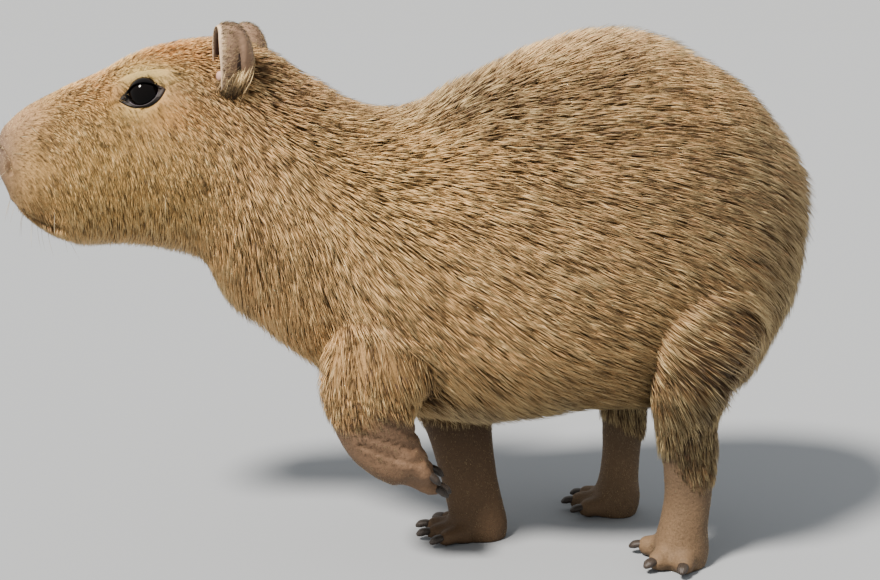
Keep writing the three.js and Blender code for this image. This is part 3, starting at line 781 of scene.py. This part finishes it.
def ear_point(t, turn):
    """t runs from the bottom of the hollow over the rim to the back of the ear"""
    u = np.abs(2 * t - 1)
    polar = EAR_RIM + (math.pi - EAR_RIM) * u
    wall = EAR_WALL * np.sqrt(np.minimum(1, u / 0.1))
    inner = np.where(t < 0.5, wall, 0)
    around_rim = np.sin(turn)
    r = np.sin(polar) * (1 + 0.03 * np.sin(3 * turn + 1))
    top = np.where(around_rim > 0, 1.0, 0.92)
    side_r = (EAR_WIDTH - inner) * r * np.cos(turn)
    up_r = (EAR_HEIGHT - inner) * r * around_rim * top
    face = (EAR_DEPTH - inner) * np.cos(polar)
    face += 2.0 * np.exp(-((u / 0.16) ** 2)) * np.maximum(0, around_rim)
    # The wall nearest the cheek curls in over the hollow, and the inner side is lightly ribbed
    curl = np.exp(-((u / 0.35) ** 2)) * np.maximum(0, np.cos(turn - 0.25)) ** 2
    side_r -= 5.0 * curl
    fold = np.exp(-(((polar - 1.8) / 0.17) ** 2)) * np.maximum(0, np.cos(turn + 0.2)) * (t > 0.5)
    side_r -= 2.4 * fold
    face += 2.5 * curl + np.where(t < 0.5, 0.7 * np.sin(up_r * 0.45) * np.sin(math.pi * u), 0)
    return side_r, face, up_r


# Thin dry skin over gristle: dull, mottled by veins about 4 mm apart
ear_skin, tree = new_material("thin_ear_skin")
coords = add_node(tree, "ShaderNodeTexCoord").outputs["Object"]
veins = add_node(
    tree, "ShaderNodeTexNoise", inputs={"Scale": 260.0, "Detail": 5.0}, links={"Vector": coords}
)
ear_tint = add_node(tree, "ShaderNodeAttribute", settings={"attribute_name": "ear_tint"})
shade = add_node(
    tree, "ShaderNodeMapRange", inputs={"From Min": 0.3, "From Max": 0.7, "To Min": 0.8, "To Max": 1.15},
    links={"Value": veins.outputs["Fac"]},
)
ear_colour = add_node(
    tree, "ShaderNodeVectorMath", settings={"operation": "SCALE"},
    links={0: ear_tint.outputs["Color"], "Scale": shade.outputs["Result"]},
)
ear_bump = add_node(
    tree, "ShaderNodeBump", inputs={"Strength": 0.4, "Distance": 0.0008},
    links={"Height": veins.outputs["Fac"]},
)
shader = add_node(
    tree, "ShaderNodeBsdfPrincipled",
    inputs={"Roughness": 0.6, "IOR": 1.4, "Specular IOR Level": 0.35},
    links={"Base Color": ear_colour.outputs["Vector"], "Normal": ear_bump.outputs["Normal"]},
)
add_node(tree, "ShaderNodeOutputMaterial", links={"Surface": shader.outputs["BSDF"]})
EAR_BACK_COLOUR = "#7d6450"
EAR_RIM_LIGHT_COLOUR = "#c0a78a"
EAR_HOLLOW_SHADE_COLOUR = "#1a110e"
EAR_INSIDE_COLOUR_AND_SHADE = "#51392f"
LOBE_COLOUR = "#a98578"
LOBE_SIZE = (5.0, 3.4, 4.2)
for side in ("left", "right"):
    axes = [for_side(side, v) for v in (ear_side, ear_face, ear_up)]
    centre = for_side(side, ear_centre)

    def ear_place(t, turn):
        a, b, c = ear_point(t, turn)
        return centre + np.outer(a, axes[0]) + np.outer(b, axes[1]) + np.outer(c, axes[2])

    bm = bmesh.new()
    stretched(bm, EAR_RINGS, 64, ear_place)
    bmesh.ops.recalc_face_normals(bm, faces=bm.faces)
    if bm.calc_volume(signed=True) < 0:
        bmesh.ops.reverse_faces(bm, faces=bm.faces)
    ear = new_object("ear_cup_" + side, bm)
    shade_smooth(ear.data)
    local = for_side(side, vertex_places(ear.data) / MM - moved) - ear_centre
    a, b, c = local @ ear_side, local @ ear_face, local @ ear_up
    backwards = np.outer(20 + 0 * a, axes[1])
    off_middle = unit(np.outer(a, axes[0]) + np.outer(c, axes[2]) - backwards)
    outwards = vertex_normals(ear.data) * off_middle
    inside = np.clip(-4 * np.sum(outwards, axis=1), 0, 1)[:, None]
    # Painted shade: the inside of the cup is dark skin, partly painted shade, and darker still the further
    # back and lower it lies
    deep = np.clip(0.6 - b / 14 - c / 60, 0, 1)[:, None]
    wall_colour = linear(EAR_INSIDE_COLOUR_AND_SHADE)
    shaded_hollow_colour = wall_colour + (linear(EAR_HOLLOW_SHADE_COLOUR) - wall_colour) * deep
    back_colour = np.tile(linear(EAR_BACK_COLOUR), (len(local), 1))
    ear_colours = back_colour + (shaded_hollow_colour - back_colour) * inside
    # Painted light: the thin rim round the front of the opening is paler, as light shining through it
    rim_light = np.clip((b - EAR_DEPTH * 0.3) / 4, 0, 1)[:, None]
    ear_colours += (linear(EAR_RIM_LIGHT_COLOUR) - ear_colours) * rim_light
    set_tint(ear.data, ear_colours, "ear_tint")
    ear.data.materials.append(ear_skin)
    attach(ear, "root")
    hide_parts("ear_" + side)

    bm = bmesh.new()
    lobe_at = ear_centre + ear_face * 6 - ear_up * 12 - ear_side * 1
    egg(bm, for_side(side, lobe_at), LOBE_SIZE, axes, 16, 20)
    lobe = new_object("ear_lobe_" + side, bm)
    shade_smooth(lobe.data)
    lobe_colours = np.tile(linear(LOBE_COLOUR), (len(lobe.data.vertices), 1))
    set_tint(lobe.data, lobe_colours, "ear_tint")
    lobe.data.materials.append(ear_skin)
    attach(lobe, "root")


# Claws
# Blunt hoof-like nails of dark horn, one on each toe, grown out of the toe's end and curved down a little.
# Each is a closed rod, flatter than wide, that thins to a rounded tip.
CLAW_LENGTH = 15
CLAW_RADIUS = 4.4
# Horn worn smooth by walking: nearly black with a low shine and growth lines about 3 mm apart
horn, tree = new_material("worn_dark_horn")
coords = add_node(tree, "ShaderNodeTexCoord").outputs["Object"]
growth = add_node(
    tree, "ShaderNodeTexWave", settings={"wave_type": "BANDS", "bands_direction": "X"},
    inputs={"Scale": 320.0, "Distortion": 6.0, "Detail": 3.0}, links={"Vector": coords},
)
horn_ramp = add_node(tree, "ShaderNodeValToRGB", links={"Fac": growth.outputs["Fac"]})
horn_ramp.color_ramp.elements[0].color = (*linear("#191411"), 1)
horn_ramp.color_ramp.elements[1].color = (*linear("#3b322b"), 1)
horn_bump = add_node(
    tree, "ShaderNodeBump", inputs={"Strength": 0.3, "Distance": 0.0004},
    links={"Height": growth.outputs["Fac"]},
)
shader = add_node(
    tree, "ShaderNodeBsdfPrincipled",
    inputs={"Roughness": 0.5, "IOR": 1.54, "Specular IOR Level": 0.3},
    links={"Base Color": horn_ramp.outputs["Color"], "Normal": horn_bump.outputs["Normal"]},
)
add_node(tree, "ShaderNodeOutputMaterial", links={"Surface": shader.outputs["BSDF"]})
for foot, toes in TOES.items():
    for i, (root, tip, radius) in enumerate(toes):
        root, tip = np.array(root, float), np.array(tip, float)
        ahead = unit(tip - root)
        start = tip - ahead * CLAW_LENGTH * 0.55 + (0, 0, radius * 0.25)
        middle = start + ahead * CLAW_LENGTH * 0.55 + (0, 0, 0.6)
        end = start + ahead * CLAW_LENGTH * 1.02 + (0, 0, -1.8)

        def nail(t):
            tip_share = np.sqrt(np.maximum(1.02 - t, 0.0) * 3)
            return CLAW_RADIUS * np.minimum(np.minimum(1, 0.45 + 2 * t), tip_share)

        bm = bmesh.new()
        rod(bm, (start, middle, end), 22, 20, nail, 0.72)
        bmesh.ops.recalc_face_normals(bm, faces=bm.faces)
        claw = new_object(f"nail_{foot}_{i + 1}", bm)
        shade_smooth(claw.data)
        claw.data.materials.append(horn)
        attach(claw, "root")
        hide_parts(f"claw_{foot}_{i + 1}")


# Coat
# Coarse bristly hair, dark at the root and straw at the tip, laid back and down, upright along the nape and
# short on face and legs. Every tuft is a closed tapered sliver of a few faces, rooted in the hide, and is
# several times as thick as a real hair so that it shows.
LIE = [  # how steeply the coat slopes down, in degrees, at stops from the nose to the rump
    (-330, 30), (-260, 52), (-200, 60), (-120, 56), (-60, 46), (0, 34),
    (60, 22), (150, 13), (240, 24), (300, 46), (331, 62),
]
TUFTS = {"trunk": 88000, "head": 52000, "arm": 9000, "support": 8000, "hind": 15000}
LONG_HAIR = 9.0  # from this length a hair is drawn with a bend
OF_PATCH = 0.003
MOST_TRIANGLES = 190000
LIE_VARIES = 0.1
MUZZLE_WHORL = np.array([-312.0, 0.0, 318.0])
draw = np.random.default_rng(7)


def roots_on(rows, count, weight, round_ends=False):
    """t, turn and place of random points on a body part, as dense as the weight at each place says"""
    t = draw.random(count * 4)
    turn = draw.random(count * 4) * 2 * math.pi
    e = 1e-3
    here = on_body_part(rows, t, turn, 0.0, round_ends)
    along = on_body_part(rows, np.clip(t + e, 0, 1), turn, 0.0, round_ends) - here
    round_ = on_body_part(rows, t, turn + e, 0.0, round_ends) - here
    area = np.linalg.norm(np.cross(along, round_), axis=1) * weight(here) + 1e-12
    luck = np.log(draw.random(len(t))) / area
    chosen = np.argsort(-luck)[:count]
    return t[chosen], turn[chosen], here[chosen]


def on_hide(points, reach):
    """The nearest place and outward direction on the hide, and whether it is near enough to root a tuft"""
    near = np.zeros((len(points), 3))
    out = np.zeros((len(points), 3))
    ok = np.zeros(len(points), bool)
    for i, p in enumerate(placed(points)):
        at, facing_out, _, away = skin_tree.find_nearest(Vector(p))
        near[i] = at
        out[i] = facing_out
        ok[i] = away < reach * MM
    return near / MM - moved, out, ok


def along_hide(direction, out):
    return unit(direction - out * np.sum(direction * out, axis=1, keepdims=True))


def coat_mesh(name, tufts, bent):
    """One mesh of tufts: three-sided tapered slivers, with one bend in the longer ones. lie is the way a
    tuft lies, lift how far its tip stands off, clump where its tip is drawn to and grip how strongly."""
    root, out, lie, length = (tufts[k] for k in ("root", "out", "lie", "length"))
    count = len(root)
    stops = (0.0, 0.5, 1.0) if bent else (0.0, 1.0)
    corners = 3 * (len(stops) - 1) + 1
    side = unit(np.cross(lie, out))
    points = np.zeros((count, corners, 3))
    along = np.zeros((count, corners))
    patch = np.zeros((count, corners, 2))
    pull = (tufts["clump"] - (root + lie * length[:, None])) * tufts["grip"][:, None]
    for i in range(corners):
        level, corner = divmod(i, 3)
        s = stops[level]
        r = tufts["width"] * (0.9, 0.8)[level] if s < 1 else 0 * length
        rise = tufts["lift"] * math.sin(s * math.pi / 2) - 0.8 * (1 - s)
        spine = root + lie * (length * s)[:, None] + out * rise[:, None] + pull * s**1.6
        spine[:, 2] -= length * 0.04 * s**2
        angle = corner * 2 * math.pi / 3
        points[:, i] = spine + side * (r * 0.5 * math.sin(angle))[:, None]
        points[:, i] += out * (r * 0.36 * math.cos(angle))[:, None]
        along[:, i] = s
        patch[:, i] = tufts["uv"] + OF_PATCH * np.array([corner / 3 + 0.1, s])
    faces = [(0, 2, 1)]
    for level in range(len(stops) - 2):
        for j in range(3):
            a, b = 3 * level + j, 3 * level + (j + 1) % 3
            faces += [(a, b, b + 3), (a, b + 3, a + 3)]
    last = corners - 4
    faces += [(last, last + 1, last + 3), (last + 1, last + 2, last + 3), (last + 2, last, last + 3)]
    faces = (np.arange(count)[:, None, None] * corners + np.array(faces)[None]).reshape(-1, 3)
    mesh = bpy.data.meshes.new(name)
    mesh.vertices.add(count * corners)
    mesh.vertices.foreach_set("co", placed(points.reshape(-1, 3)).ravel())
    mesh.loops.add(faces.size)
    mesh.loops.foreach_set("vertex_index", faces.ravel().astype(np.int32))
    mesh.polygons.add(len(faces))
    mesh.polygons.foreach_set("loop_start", np.arange(0, faces.size, 3, dtype=np.int32))
    mesh.update(calc_edges=True)
    shade_smooth(mesh)
    uv_layer = mesh.uv_layers.new(name="OFBake")
    uv_layer.data.foreach_set("uv", patch.reshape(-1, 2)[faces.ravel()].ravel().astype(np.float32))
    for attribute, values in (("along", along), ("tone", np.repeat(tufts["tone"], corners))):
        layer = mesh.attributes.new(attribute, "FLOAT", "POINT")
        layer.data.foreach_set("value", values.ravel().astype(np.float32))
    set_tint(mesh, np.repeat(tufts["tint"], corners, axis=0))
    mesh.validate()
    return mesh


# Bristle: dry keratin with little shine. The root third is dark, the tip is bleached, and about one hair
# in five is dark all along, which gives the coat its peppered look.
ROOT_BROWN = "#2c1c10"
TIP_STRAW = "#f8dfa6"
bristle, tree = new_material("dry_bristle_hair")
tint = add_node(tree, "ShaderNodeAttribute", settings={"attribute_name": "tint"}).outputs["Color"]
along = add_node(tree, "ShaderNodeAttribute", settings={"attribute_name": "along"}).outputs["Fac"]
tone = add_node(tree, "ShaderNodeAttribute", settings={"attribute_name": "tone"}).outputs["Fac"]
# Source, the values between which a shade comes in, its least and greatest share, and the shade itself
HAIR_SHADES = [
    (along, 0.4, 1.0, 0.0, 0.5, TIP_STRAW),
    (tone, 0.56, 0.9, 0.0, 0.55, TIP_STRAW),
    (along, 0.0, 0.85, 0.92, 0.0, ROOT_BROWN),
    (tone, 0.46, 0.18, 0.0, 0.78, ROOT_BROWN),
]
hair_colour = tint
for source, start, end, least, most, shade in HAIR_SHADES:
    share = add_node(
        tree, "ShaderNodeMapRange", settings={"interpolation_type": "SMOOTHSTEP"},
        inputs={"From Min": start, "From Max": end, "To Min": least, "To Max": most},
        links={"Value": source},
    ).outputs["Result"]
    mixed = add_node(tree, "ShaderNodeMix", settings={"data_type": "RGBA"}, links={"Factor": share})
    mixed.inputs[7].default_value = (*linear(shade), 1)
    tree.links.new(hair_colour, mixed.inputs[6])
    hair_colour = mixed.outputs[2]
shader = add_node(
    tree, "ShaderNodeBsdfPrincipled",
    inputs={"Roughness": 0.55, "IOR": 1.5, "Specular IOR Level": 0.3},
    links={"Base Color": hair_colour},
)
add_node(tree, "ShaderNodeOutputMaterial", links={"Surface": shader.outputs["BSDF"]})


def chosen_of(tufts, chosen):
    return {key: values[chosen] for key, values in tufts.items()}


def lie_of_body(root, out, turn):
    """Back and down along the sides, straight back along the top, and out from the nose on the muzzle"""
    slope = np.interp(root[:, 0], *zip(*LIE))
    slope = slope * (1.08 - 0.75 * np.cos(turn)) + 7 * wave(root, 30, 2) + 5 * wave(root, 11, 6)
    slope = np.radians(slope)
    lie = np.stack([np.cos(slope), 0.12 * wave(root, 24, 8), -np.sin(slope)], 1)
    from_nose = unit((root - MUZZLE_WHORL) * (1, 0.4, 1))
    near_nose = np.exp(-(((root[:, 0] + 330) / 42) ** 2))[:, None]
    lie = lie + (from_nose - lie) * near_nose
    return along_hide(lie + draw.normal(0, LIE_VARIES, lie.shape), out)


def lie_of_leg(root, out):
    lie = np.stack([0.22 + 0.1 * wave(root, 12, 3), 0 * root[:, 0], -1 + 0 * root[:, 0]], 1)
    return along_hide(lie + draw.normal(0, LIE_VARIES, lie.shape), out)


def clump_together(tufts, every, alike):
    """Each tuft's tip is drawn towards that of the nearest of a few leading tufts, and shares its tone"""
    leaders = np.arange(0, len(tufts["root"]), every)
    tree_of = KDTree(len(leaders))
    for i, leader in enumerate(leaders):
        tree_of.insert(tufts["root"][leader], i)
    tree_of.balance()
    nearest = np.array([leaders[tree_of.find(p)[1]] for p in tufts["root"]])
    tufts["clump"] = tufts["root"][nearest] + (tufts["lie"] * tufts["length"][:, None])[nearest]
    tufts["tone"] += alike * (draw.random(len(tufts["root"]))[nearest] - tufts["tone"])


def add_coat(name, tufts, every=8, alike=0.5):
    clump_together(tufts, every, alike)
    for bent in (False, True):
        part = chosen_of(tufts, (tufts["length"] > LONG_HAIR) == bent)
        count = len(part["root"])
        if count == 0:
            continue
        kind, triangles = ("long", 10) if bent else ("short", 4)
        pieces = math.ceil(count * triangles / MOST_TRIANGLES)
        from_the_nose = np.argsort(part["root"][:, 0], kind="stable")
        for i, chosen in enumerate(np.array_split(from_the_nose, pieces)):
            mesh = coat_mesh(f"{name}_{kind}_{i + 1}", chosen_of(part, chosen), bent)
            coat = new_object(mesh.name, mesh)
            mesh.materials.append(bristle)
            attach(coat, "root")


def make_tufts(root, out, lie, length, lift, width, uv, grip):
    count = len(root)
    return {
        "root": root,
        "out": out,
        "lie": lie,
        "uv": uv,
        "tint": tint_at(root),
        "tone": draw.random(count),
        "length": length * draw.uniform(0.75, 1.2, count),
        "lift": lift * draw.uniform(0.6, 1.2, count),
        "width": width * draw.uniform(0.7, 1.3, count),
        "grip": np.full(count, grip),
    }


def body_uv(t, turn):
    return np.stack([t * 0.98, 0.02 + turn / (2 * math.pi) * 0.6], 1)


# Long coat of neck, trunk and haunches
NECK_AHEAD = -150
t, turn, root = roots_on(
    BODY, TUFTS["trunk"], lambda p: np.clip((p[:, 0] - NECK_AHEAD) / 40, 0, 1), True
)
near, out, ok = on_hide(root, 6)
t, turn, root, out = t[ok], turn[ok], near[ok], out[ok]
depth = smooth_through(BODY, t)[:, 6]
top = np.clip(np.cos(turn), 0, 1)
nape = np.exp(-(((root[:, 0] + 60) / 60) ** 2)) * top
TRUNK_LENGTH = 2.15  # length and lift are shares of the coat's depth
TRUNK_SHORTER_ON_TOP = 0.4
TRUNK_LIFT = 0.66
LIFT_ON_TOP = 0.26
LIFT_ON_NAPE = 0.35
TRUNK_WIDTH = 0.95
lift_share = TRUNK_LIFT + LIFT_ON_TOP * top + LIFT_ON_NAPE * nape
tufts = make_tufts(
    root, out, lie_of_body(root, out, turn),
    length=depth * (TRUNK_LENGTH - TRUNK_SHORTER_ON_TOP * top),
    lift=depth * lift_share * (1 + 0.15 * wave(root, 16, 4)),
    width=np.full(len(root), TRUNK_WIDTH), uv=body_uv(t, turn), grip=0.3,
)
add_coat("coat_trunk", tufts)

# Short hair of the face, longest under the jaw
FACE_BEHIND = -124
t, turn, root = roots_on(
    BODY, TUFTS["head"], lambda p: np.clip((FACE_BEHIND - p[:, 0]) / 30, 0, 1), True
)
near, out, ok = on_hide(root, 6)
t, turn, root, out = t[ok], turn[ok], near[ok], out[ok]
left_root = on_left(root)
to_eye = left_root - eye_centre
eye_a, eye_b = to_eye @ eye_long, to_eye @ eye_up
half_a = np.where(eye_a > 0, LID_EDGE[0], LID_EDGE[1])
half_b = np.where(eye_b > 0, LID_EDGE[2], LID_EDGE[3]) * np.clip(1 - (eye_a / half_a) ** 2, 0, 1) ** 0.75
clear = np.abs(eye_b + 1.2 + 1.5 * eye_a / 21) > half_b * 0.95
clear |= np.abs(eye_a) > half_a
clear &= from_line(left_root, nostril_line) > 2.6
t, turn, root, out = t[clear], turn[clear], root[clear], out[clear]
depth = smooth_through(BODY, t)[:, 6]
short = np.clip((root[:, 0] + 332) / 60, 0.18, 1)
near_eye = np.exp(-((np.linalg.norm(on_left(root) - eye_centre, axis=1) / 30) ** 2))
jaw = np.clip((296 - root[:, 2]) / 30, 0, 1) * np.clip((root[:, 0] + 325) / 30, 0, 1)
crown = np.clip(np.cos(turn), 0, 1) * np.clip((root[:, 0] + 290) / 60, 0, 1)
FACE_LENGTH = 5.5
JAW_LONGER = 6
FACE_LIFT = 1.3
JAW_LIFT = 2.2
CROWN_LIFT = 2.0
FACE_WIDTH = 0.5
tufts = make_tufts(
    root, out, lie_of_body(root, out, turn),
    length=(FACE_LENGTH + depth * 1.4 + JAW_LONGER * jaw) * short * (1 - 0.5 * near_eye),
    lift=(FACE_LIFT + depth * 0.42 + JAW_LIFT * jaw + CROWN_LIFT * crown) * short * (1 - 0.45 * near_eye),
    width=FACE_WIDTH + 0.06 * depth, uv=body_uv(t, turn), grip=0.2,
)
on_nose = np.exp(-(((root[:, 0] + 330) / 30) ** 2))
tufts["tone"] *= 1 - 0.4 * on_nose
tufts["tint"] *= (1 - 0.35 * on_nose)[:, None]
add_coat("coat_face", tufts, every=4, alike=0.65)

# Whiskers and the stray long hairs of the chin
WHISKERS = 64
WHISKER_LENGTH = 21.0
WHISKER_COLOUR = "#d8c7a4"


def whisker_bed(p):
    return np.exp(-(((p[:, 0] + 306) / 14) ** 2 + ((p[:, 2] - 298) / 12) ** 2))


t, turn, root = roots_on(BODY, WHISKERS, whisker_bed, True)
near, out, ok = on_hide(root, 6)
t, turn, root, out = t[ok], turn[ok], near[ok], out[ok]
tufts = make_tufts(
    root, out, unit(lie_of_body(root, out, turn) + (-0.25, 0, -0.5) + 0.35 * out),
    length=np.full(len(root), WHISKER_LENGTH), lift=np.full(len(root), 6.0),
    width=np.full(len(root), 0.55), uv=body_uv(t, turn), grip=0.0,
)
tufts["tint"] = 0 * tufts["tint"] + linear(WHISKER_COLOUR)
add_coat("whiskers", tufts, alike=0.0)

# Down on the ears, longest on the rim, and the pale lock that stands in front of each ear's opening
EAR_SIZE = (EAR_WIDTH, EAR_DEPTH, EAR_HEIGHT)
EAR_DOWN = 3200
EAR_LOCK = 240
LOCK_LENGTH = 21.0
LOCK_COLOUR = "#d9b784"
DOWN_COLOUR = "#a98c6c"
EAR_TOP_COLOUR = "#6f5848"
for side in ("left", "right"):
    t = np.concatenate([0.5 + 0.5 * draw.random(EAR_DOWN) ** 1.4, 0.93 + 0.04 * draw.random(EAR_LOCK)])
    turn = draw.random(len(t)) * 2 * math.pi
    a, b, c = ear_point(t, turn)
    axes = [for_side(side, v) for v in (ear_side, ear_face, ear_up)]
    root = np.outer(a, axes[0]) + np.outer(b, axes[1]) + np.outer(c, axes[2])
    root = for_side(side, ear_centre) + root
    in_lock = np.arange(len(t)) >= EAR_DOWN
    lock_at = ear_centre + 2 * ear_face - 21 * ear_up + 12 * ear_side
    spread = draw.normal(0, 1, (len(t), 3)) * (4.5, 1.0, 3.0)
    root = np.where(in_lock[:, None], for_side(side, lock_at + spread), root)
    off_wall = [np.outer(v / h, axis) for v, h, axis in zip((a, b, c), EAR_SIZE, axes)]
    out = unit(off_wall[0] + off_wall[1] + off_wall[2])
    out = np.where(in_lock[:, None], axes[0], out)
    lie = np.outer(np.ones(len(t)), -axes[1]) + 0.8 * axes[2] + draw.normal(0, 0.25, root.shape)
    lie = along_hide(lie, out)
    upright = unit(axes[2] - 0.25 * axes[1] + draw.normal(0, 0.12, root.shape))
    lie = np.where(in_lock[:, None], upright, lie)
    down_length = 4.5 + 3 * np.exp(-((t - 0.5) / 0.1) ** 2)
    tufts = make_tufts(
        root, out, lie, length=np.where(in_lock, LOCK_LENGTH, down_length),
        lift=np.where(in_lock, 3.0, 1.0), width=np.where(in_lock, 0.8, 0.55),
        uv=np.stack([0.02 + 0.2 * t, 0.965 + 0.03 * turn / (2 * math.pi)], 1), grip=0.15,
    )
    down = np.where(in_lock[:, None], linear(LOCK_COLOUR), linear(DOWN_COLOUR))
    tufts["tint"] = np.where((c > 22)[:, None] & ~in_lock[:, None], linear(EAR_TOP_COLOUR), down)
    add_coat("ear_down_" + side, tufts)

# Hair of the legs, long above the hock and elbow and a short nap below
LEG_NAMES = ("left_arm", "right_arm", "left_hind", "right_hind")
LEG_PARTS = ("arm", "support", "hind", "hind")
NAP_LENGTH = 3.6
NAP_LIFT = 0.4
NAP_WIDTH = 0.55
LEG_LONGER = 6
for i, (name, rows, part) in enumerate(zip(LEG_NAMES, LEGS, LEG_PARTS)):
    t, turn, root = roots_on(rows, TUFTS[part], lambda p: 0.3 + 0.7 * (p[:, 2] < 170))
    near, out, ok = on_hide(root, 4)
    ok &= (near[:, 2] > 3) & (out[:, 2] > -0.85)
    t, turn, root, out = t[ok], turn[ok], near[ok], out[ok]
    depth = smooth_through(rows, t)[:, 6]
    furry = 1 - bare_share(root)
    length = NAP_LENGTH + furry * (LEG_LONGER + depth * 1.5)
    kept = draw.random(len(t)) < np.where(furry > 0.5, 0.55, 1.0)
    t, turn, root, out = t[kept], turn[kept], root[kept], out[kept]
    depth, furry, length = depth[kept], furry[kept], length[kept]
    lie = lie_of_leg(root, out)
    higher = np.clip((root[:, 2] - 130) / 60, 0, 1)[:, None]
    as_body = lie_of_body(root, out, 0 * t + math.pi / 2)
    lie = unit(lie + (as_body - lie) * higher * (root[:, :1] > BEHIND_FORELEGS))
    tufts = make_tufts(
        root, out, lie, length=length,
        lift=NAP_LIFT + furry * (1.2 + depth * 0.5), width=NAP_WIDTH + 0.35 * furry,
        uv=np.stack([0.02 + (i + t * 0.9) * 0.24, 0.66 + turn / (2 * math.pi) * 0.3], 1), grip=0.25,
    )
    add_coat("coat_" + name, tufts)


# Camera
# It stands at the side of the animal, a little above its back, at the photograph's distance and angle.
CAMERA_HEIGHT = 432.2
CAMERA_AWAY = 1104.3
CAMERA_X = 32.4
CAMERA_DOWN = math.radians(11)
LENS_PIXELS = 1351
PHOTO_WIDTH = 880
camera = bpy.data.cameras.new("camera")
camera.sensor_fit = "HORIZONTAL"
camera.sensor_width = 36
camera.lens = 36 * LENS_PIXELS / PHOTO_WIDTH
viewer = bpy.data.objects.new("camera", camera)
viewer.location = placed((CAMERA_X, -CAMERA_AWAY, CAMERA_HEIGHT))
viewer.rotation_euler = (math.pi / 2 - CAMERA_DOWN, 0, 0)
bpy.context.scene.collection.objects.link(viewer)
bpy.context.scene.camera = viewer


# Floor and lights
# A plain pale floor that runs to the horizon, one broad lamp high on the left in front, and even light all
# round of the floor's own brightness.
FLOOR_HALF = 150.0
bm = bmesh.new()
bmesh.ops.create_grid(bm, x_segments=1, y_segments=1, size=FLOOR_HALF)
floor = new_object("floor", bm)
paper, tree = new_material("pale_paper_floor")
floor_colour = (*linear("#898d92"), 1)
shader = add_node(
    tree, "ShaderNodeBsdfPrincipled",
    inputs={"Base Color": floor_colour, "Roughness": 1.0, "Specular IOR Level": 0.0},
)
add_node(tree, "ShaderNodeOutputMaterial", links={"Surface": shader.outputs["BSDF"]})
floor.data.materials.append(paper)

KEY_FALLS = (0.55, 0.6, -1.0)
key = bpy.data.lights.new("key", "SUN")
key.energy = 11.5
key.angle = math.radians(11)  # as broad as a large lamp a few metres off, for soft edges to the shadow
key.color = linear("#fff6ea")
lamp = bpy.data.objects.new("key", key)
lamp.rotation_euler = Vector(KEY_FALLS).to_track_quat("-Z", "Y").to_euler()
bpy.context.scene.collection.objects.link(lamp)
world = bpy.data.worlds.new("studio")
world.use_nodes = True
world.node_tree.nodes["Background"].inputs["Color"].default_value = (*linear("#eeeeec"), 1)
world.node_tree.nodes["Background"].inputs["Strength"].default_value = 1.1
bpy.context.scene.world = world
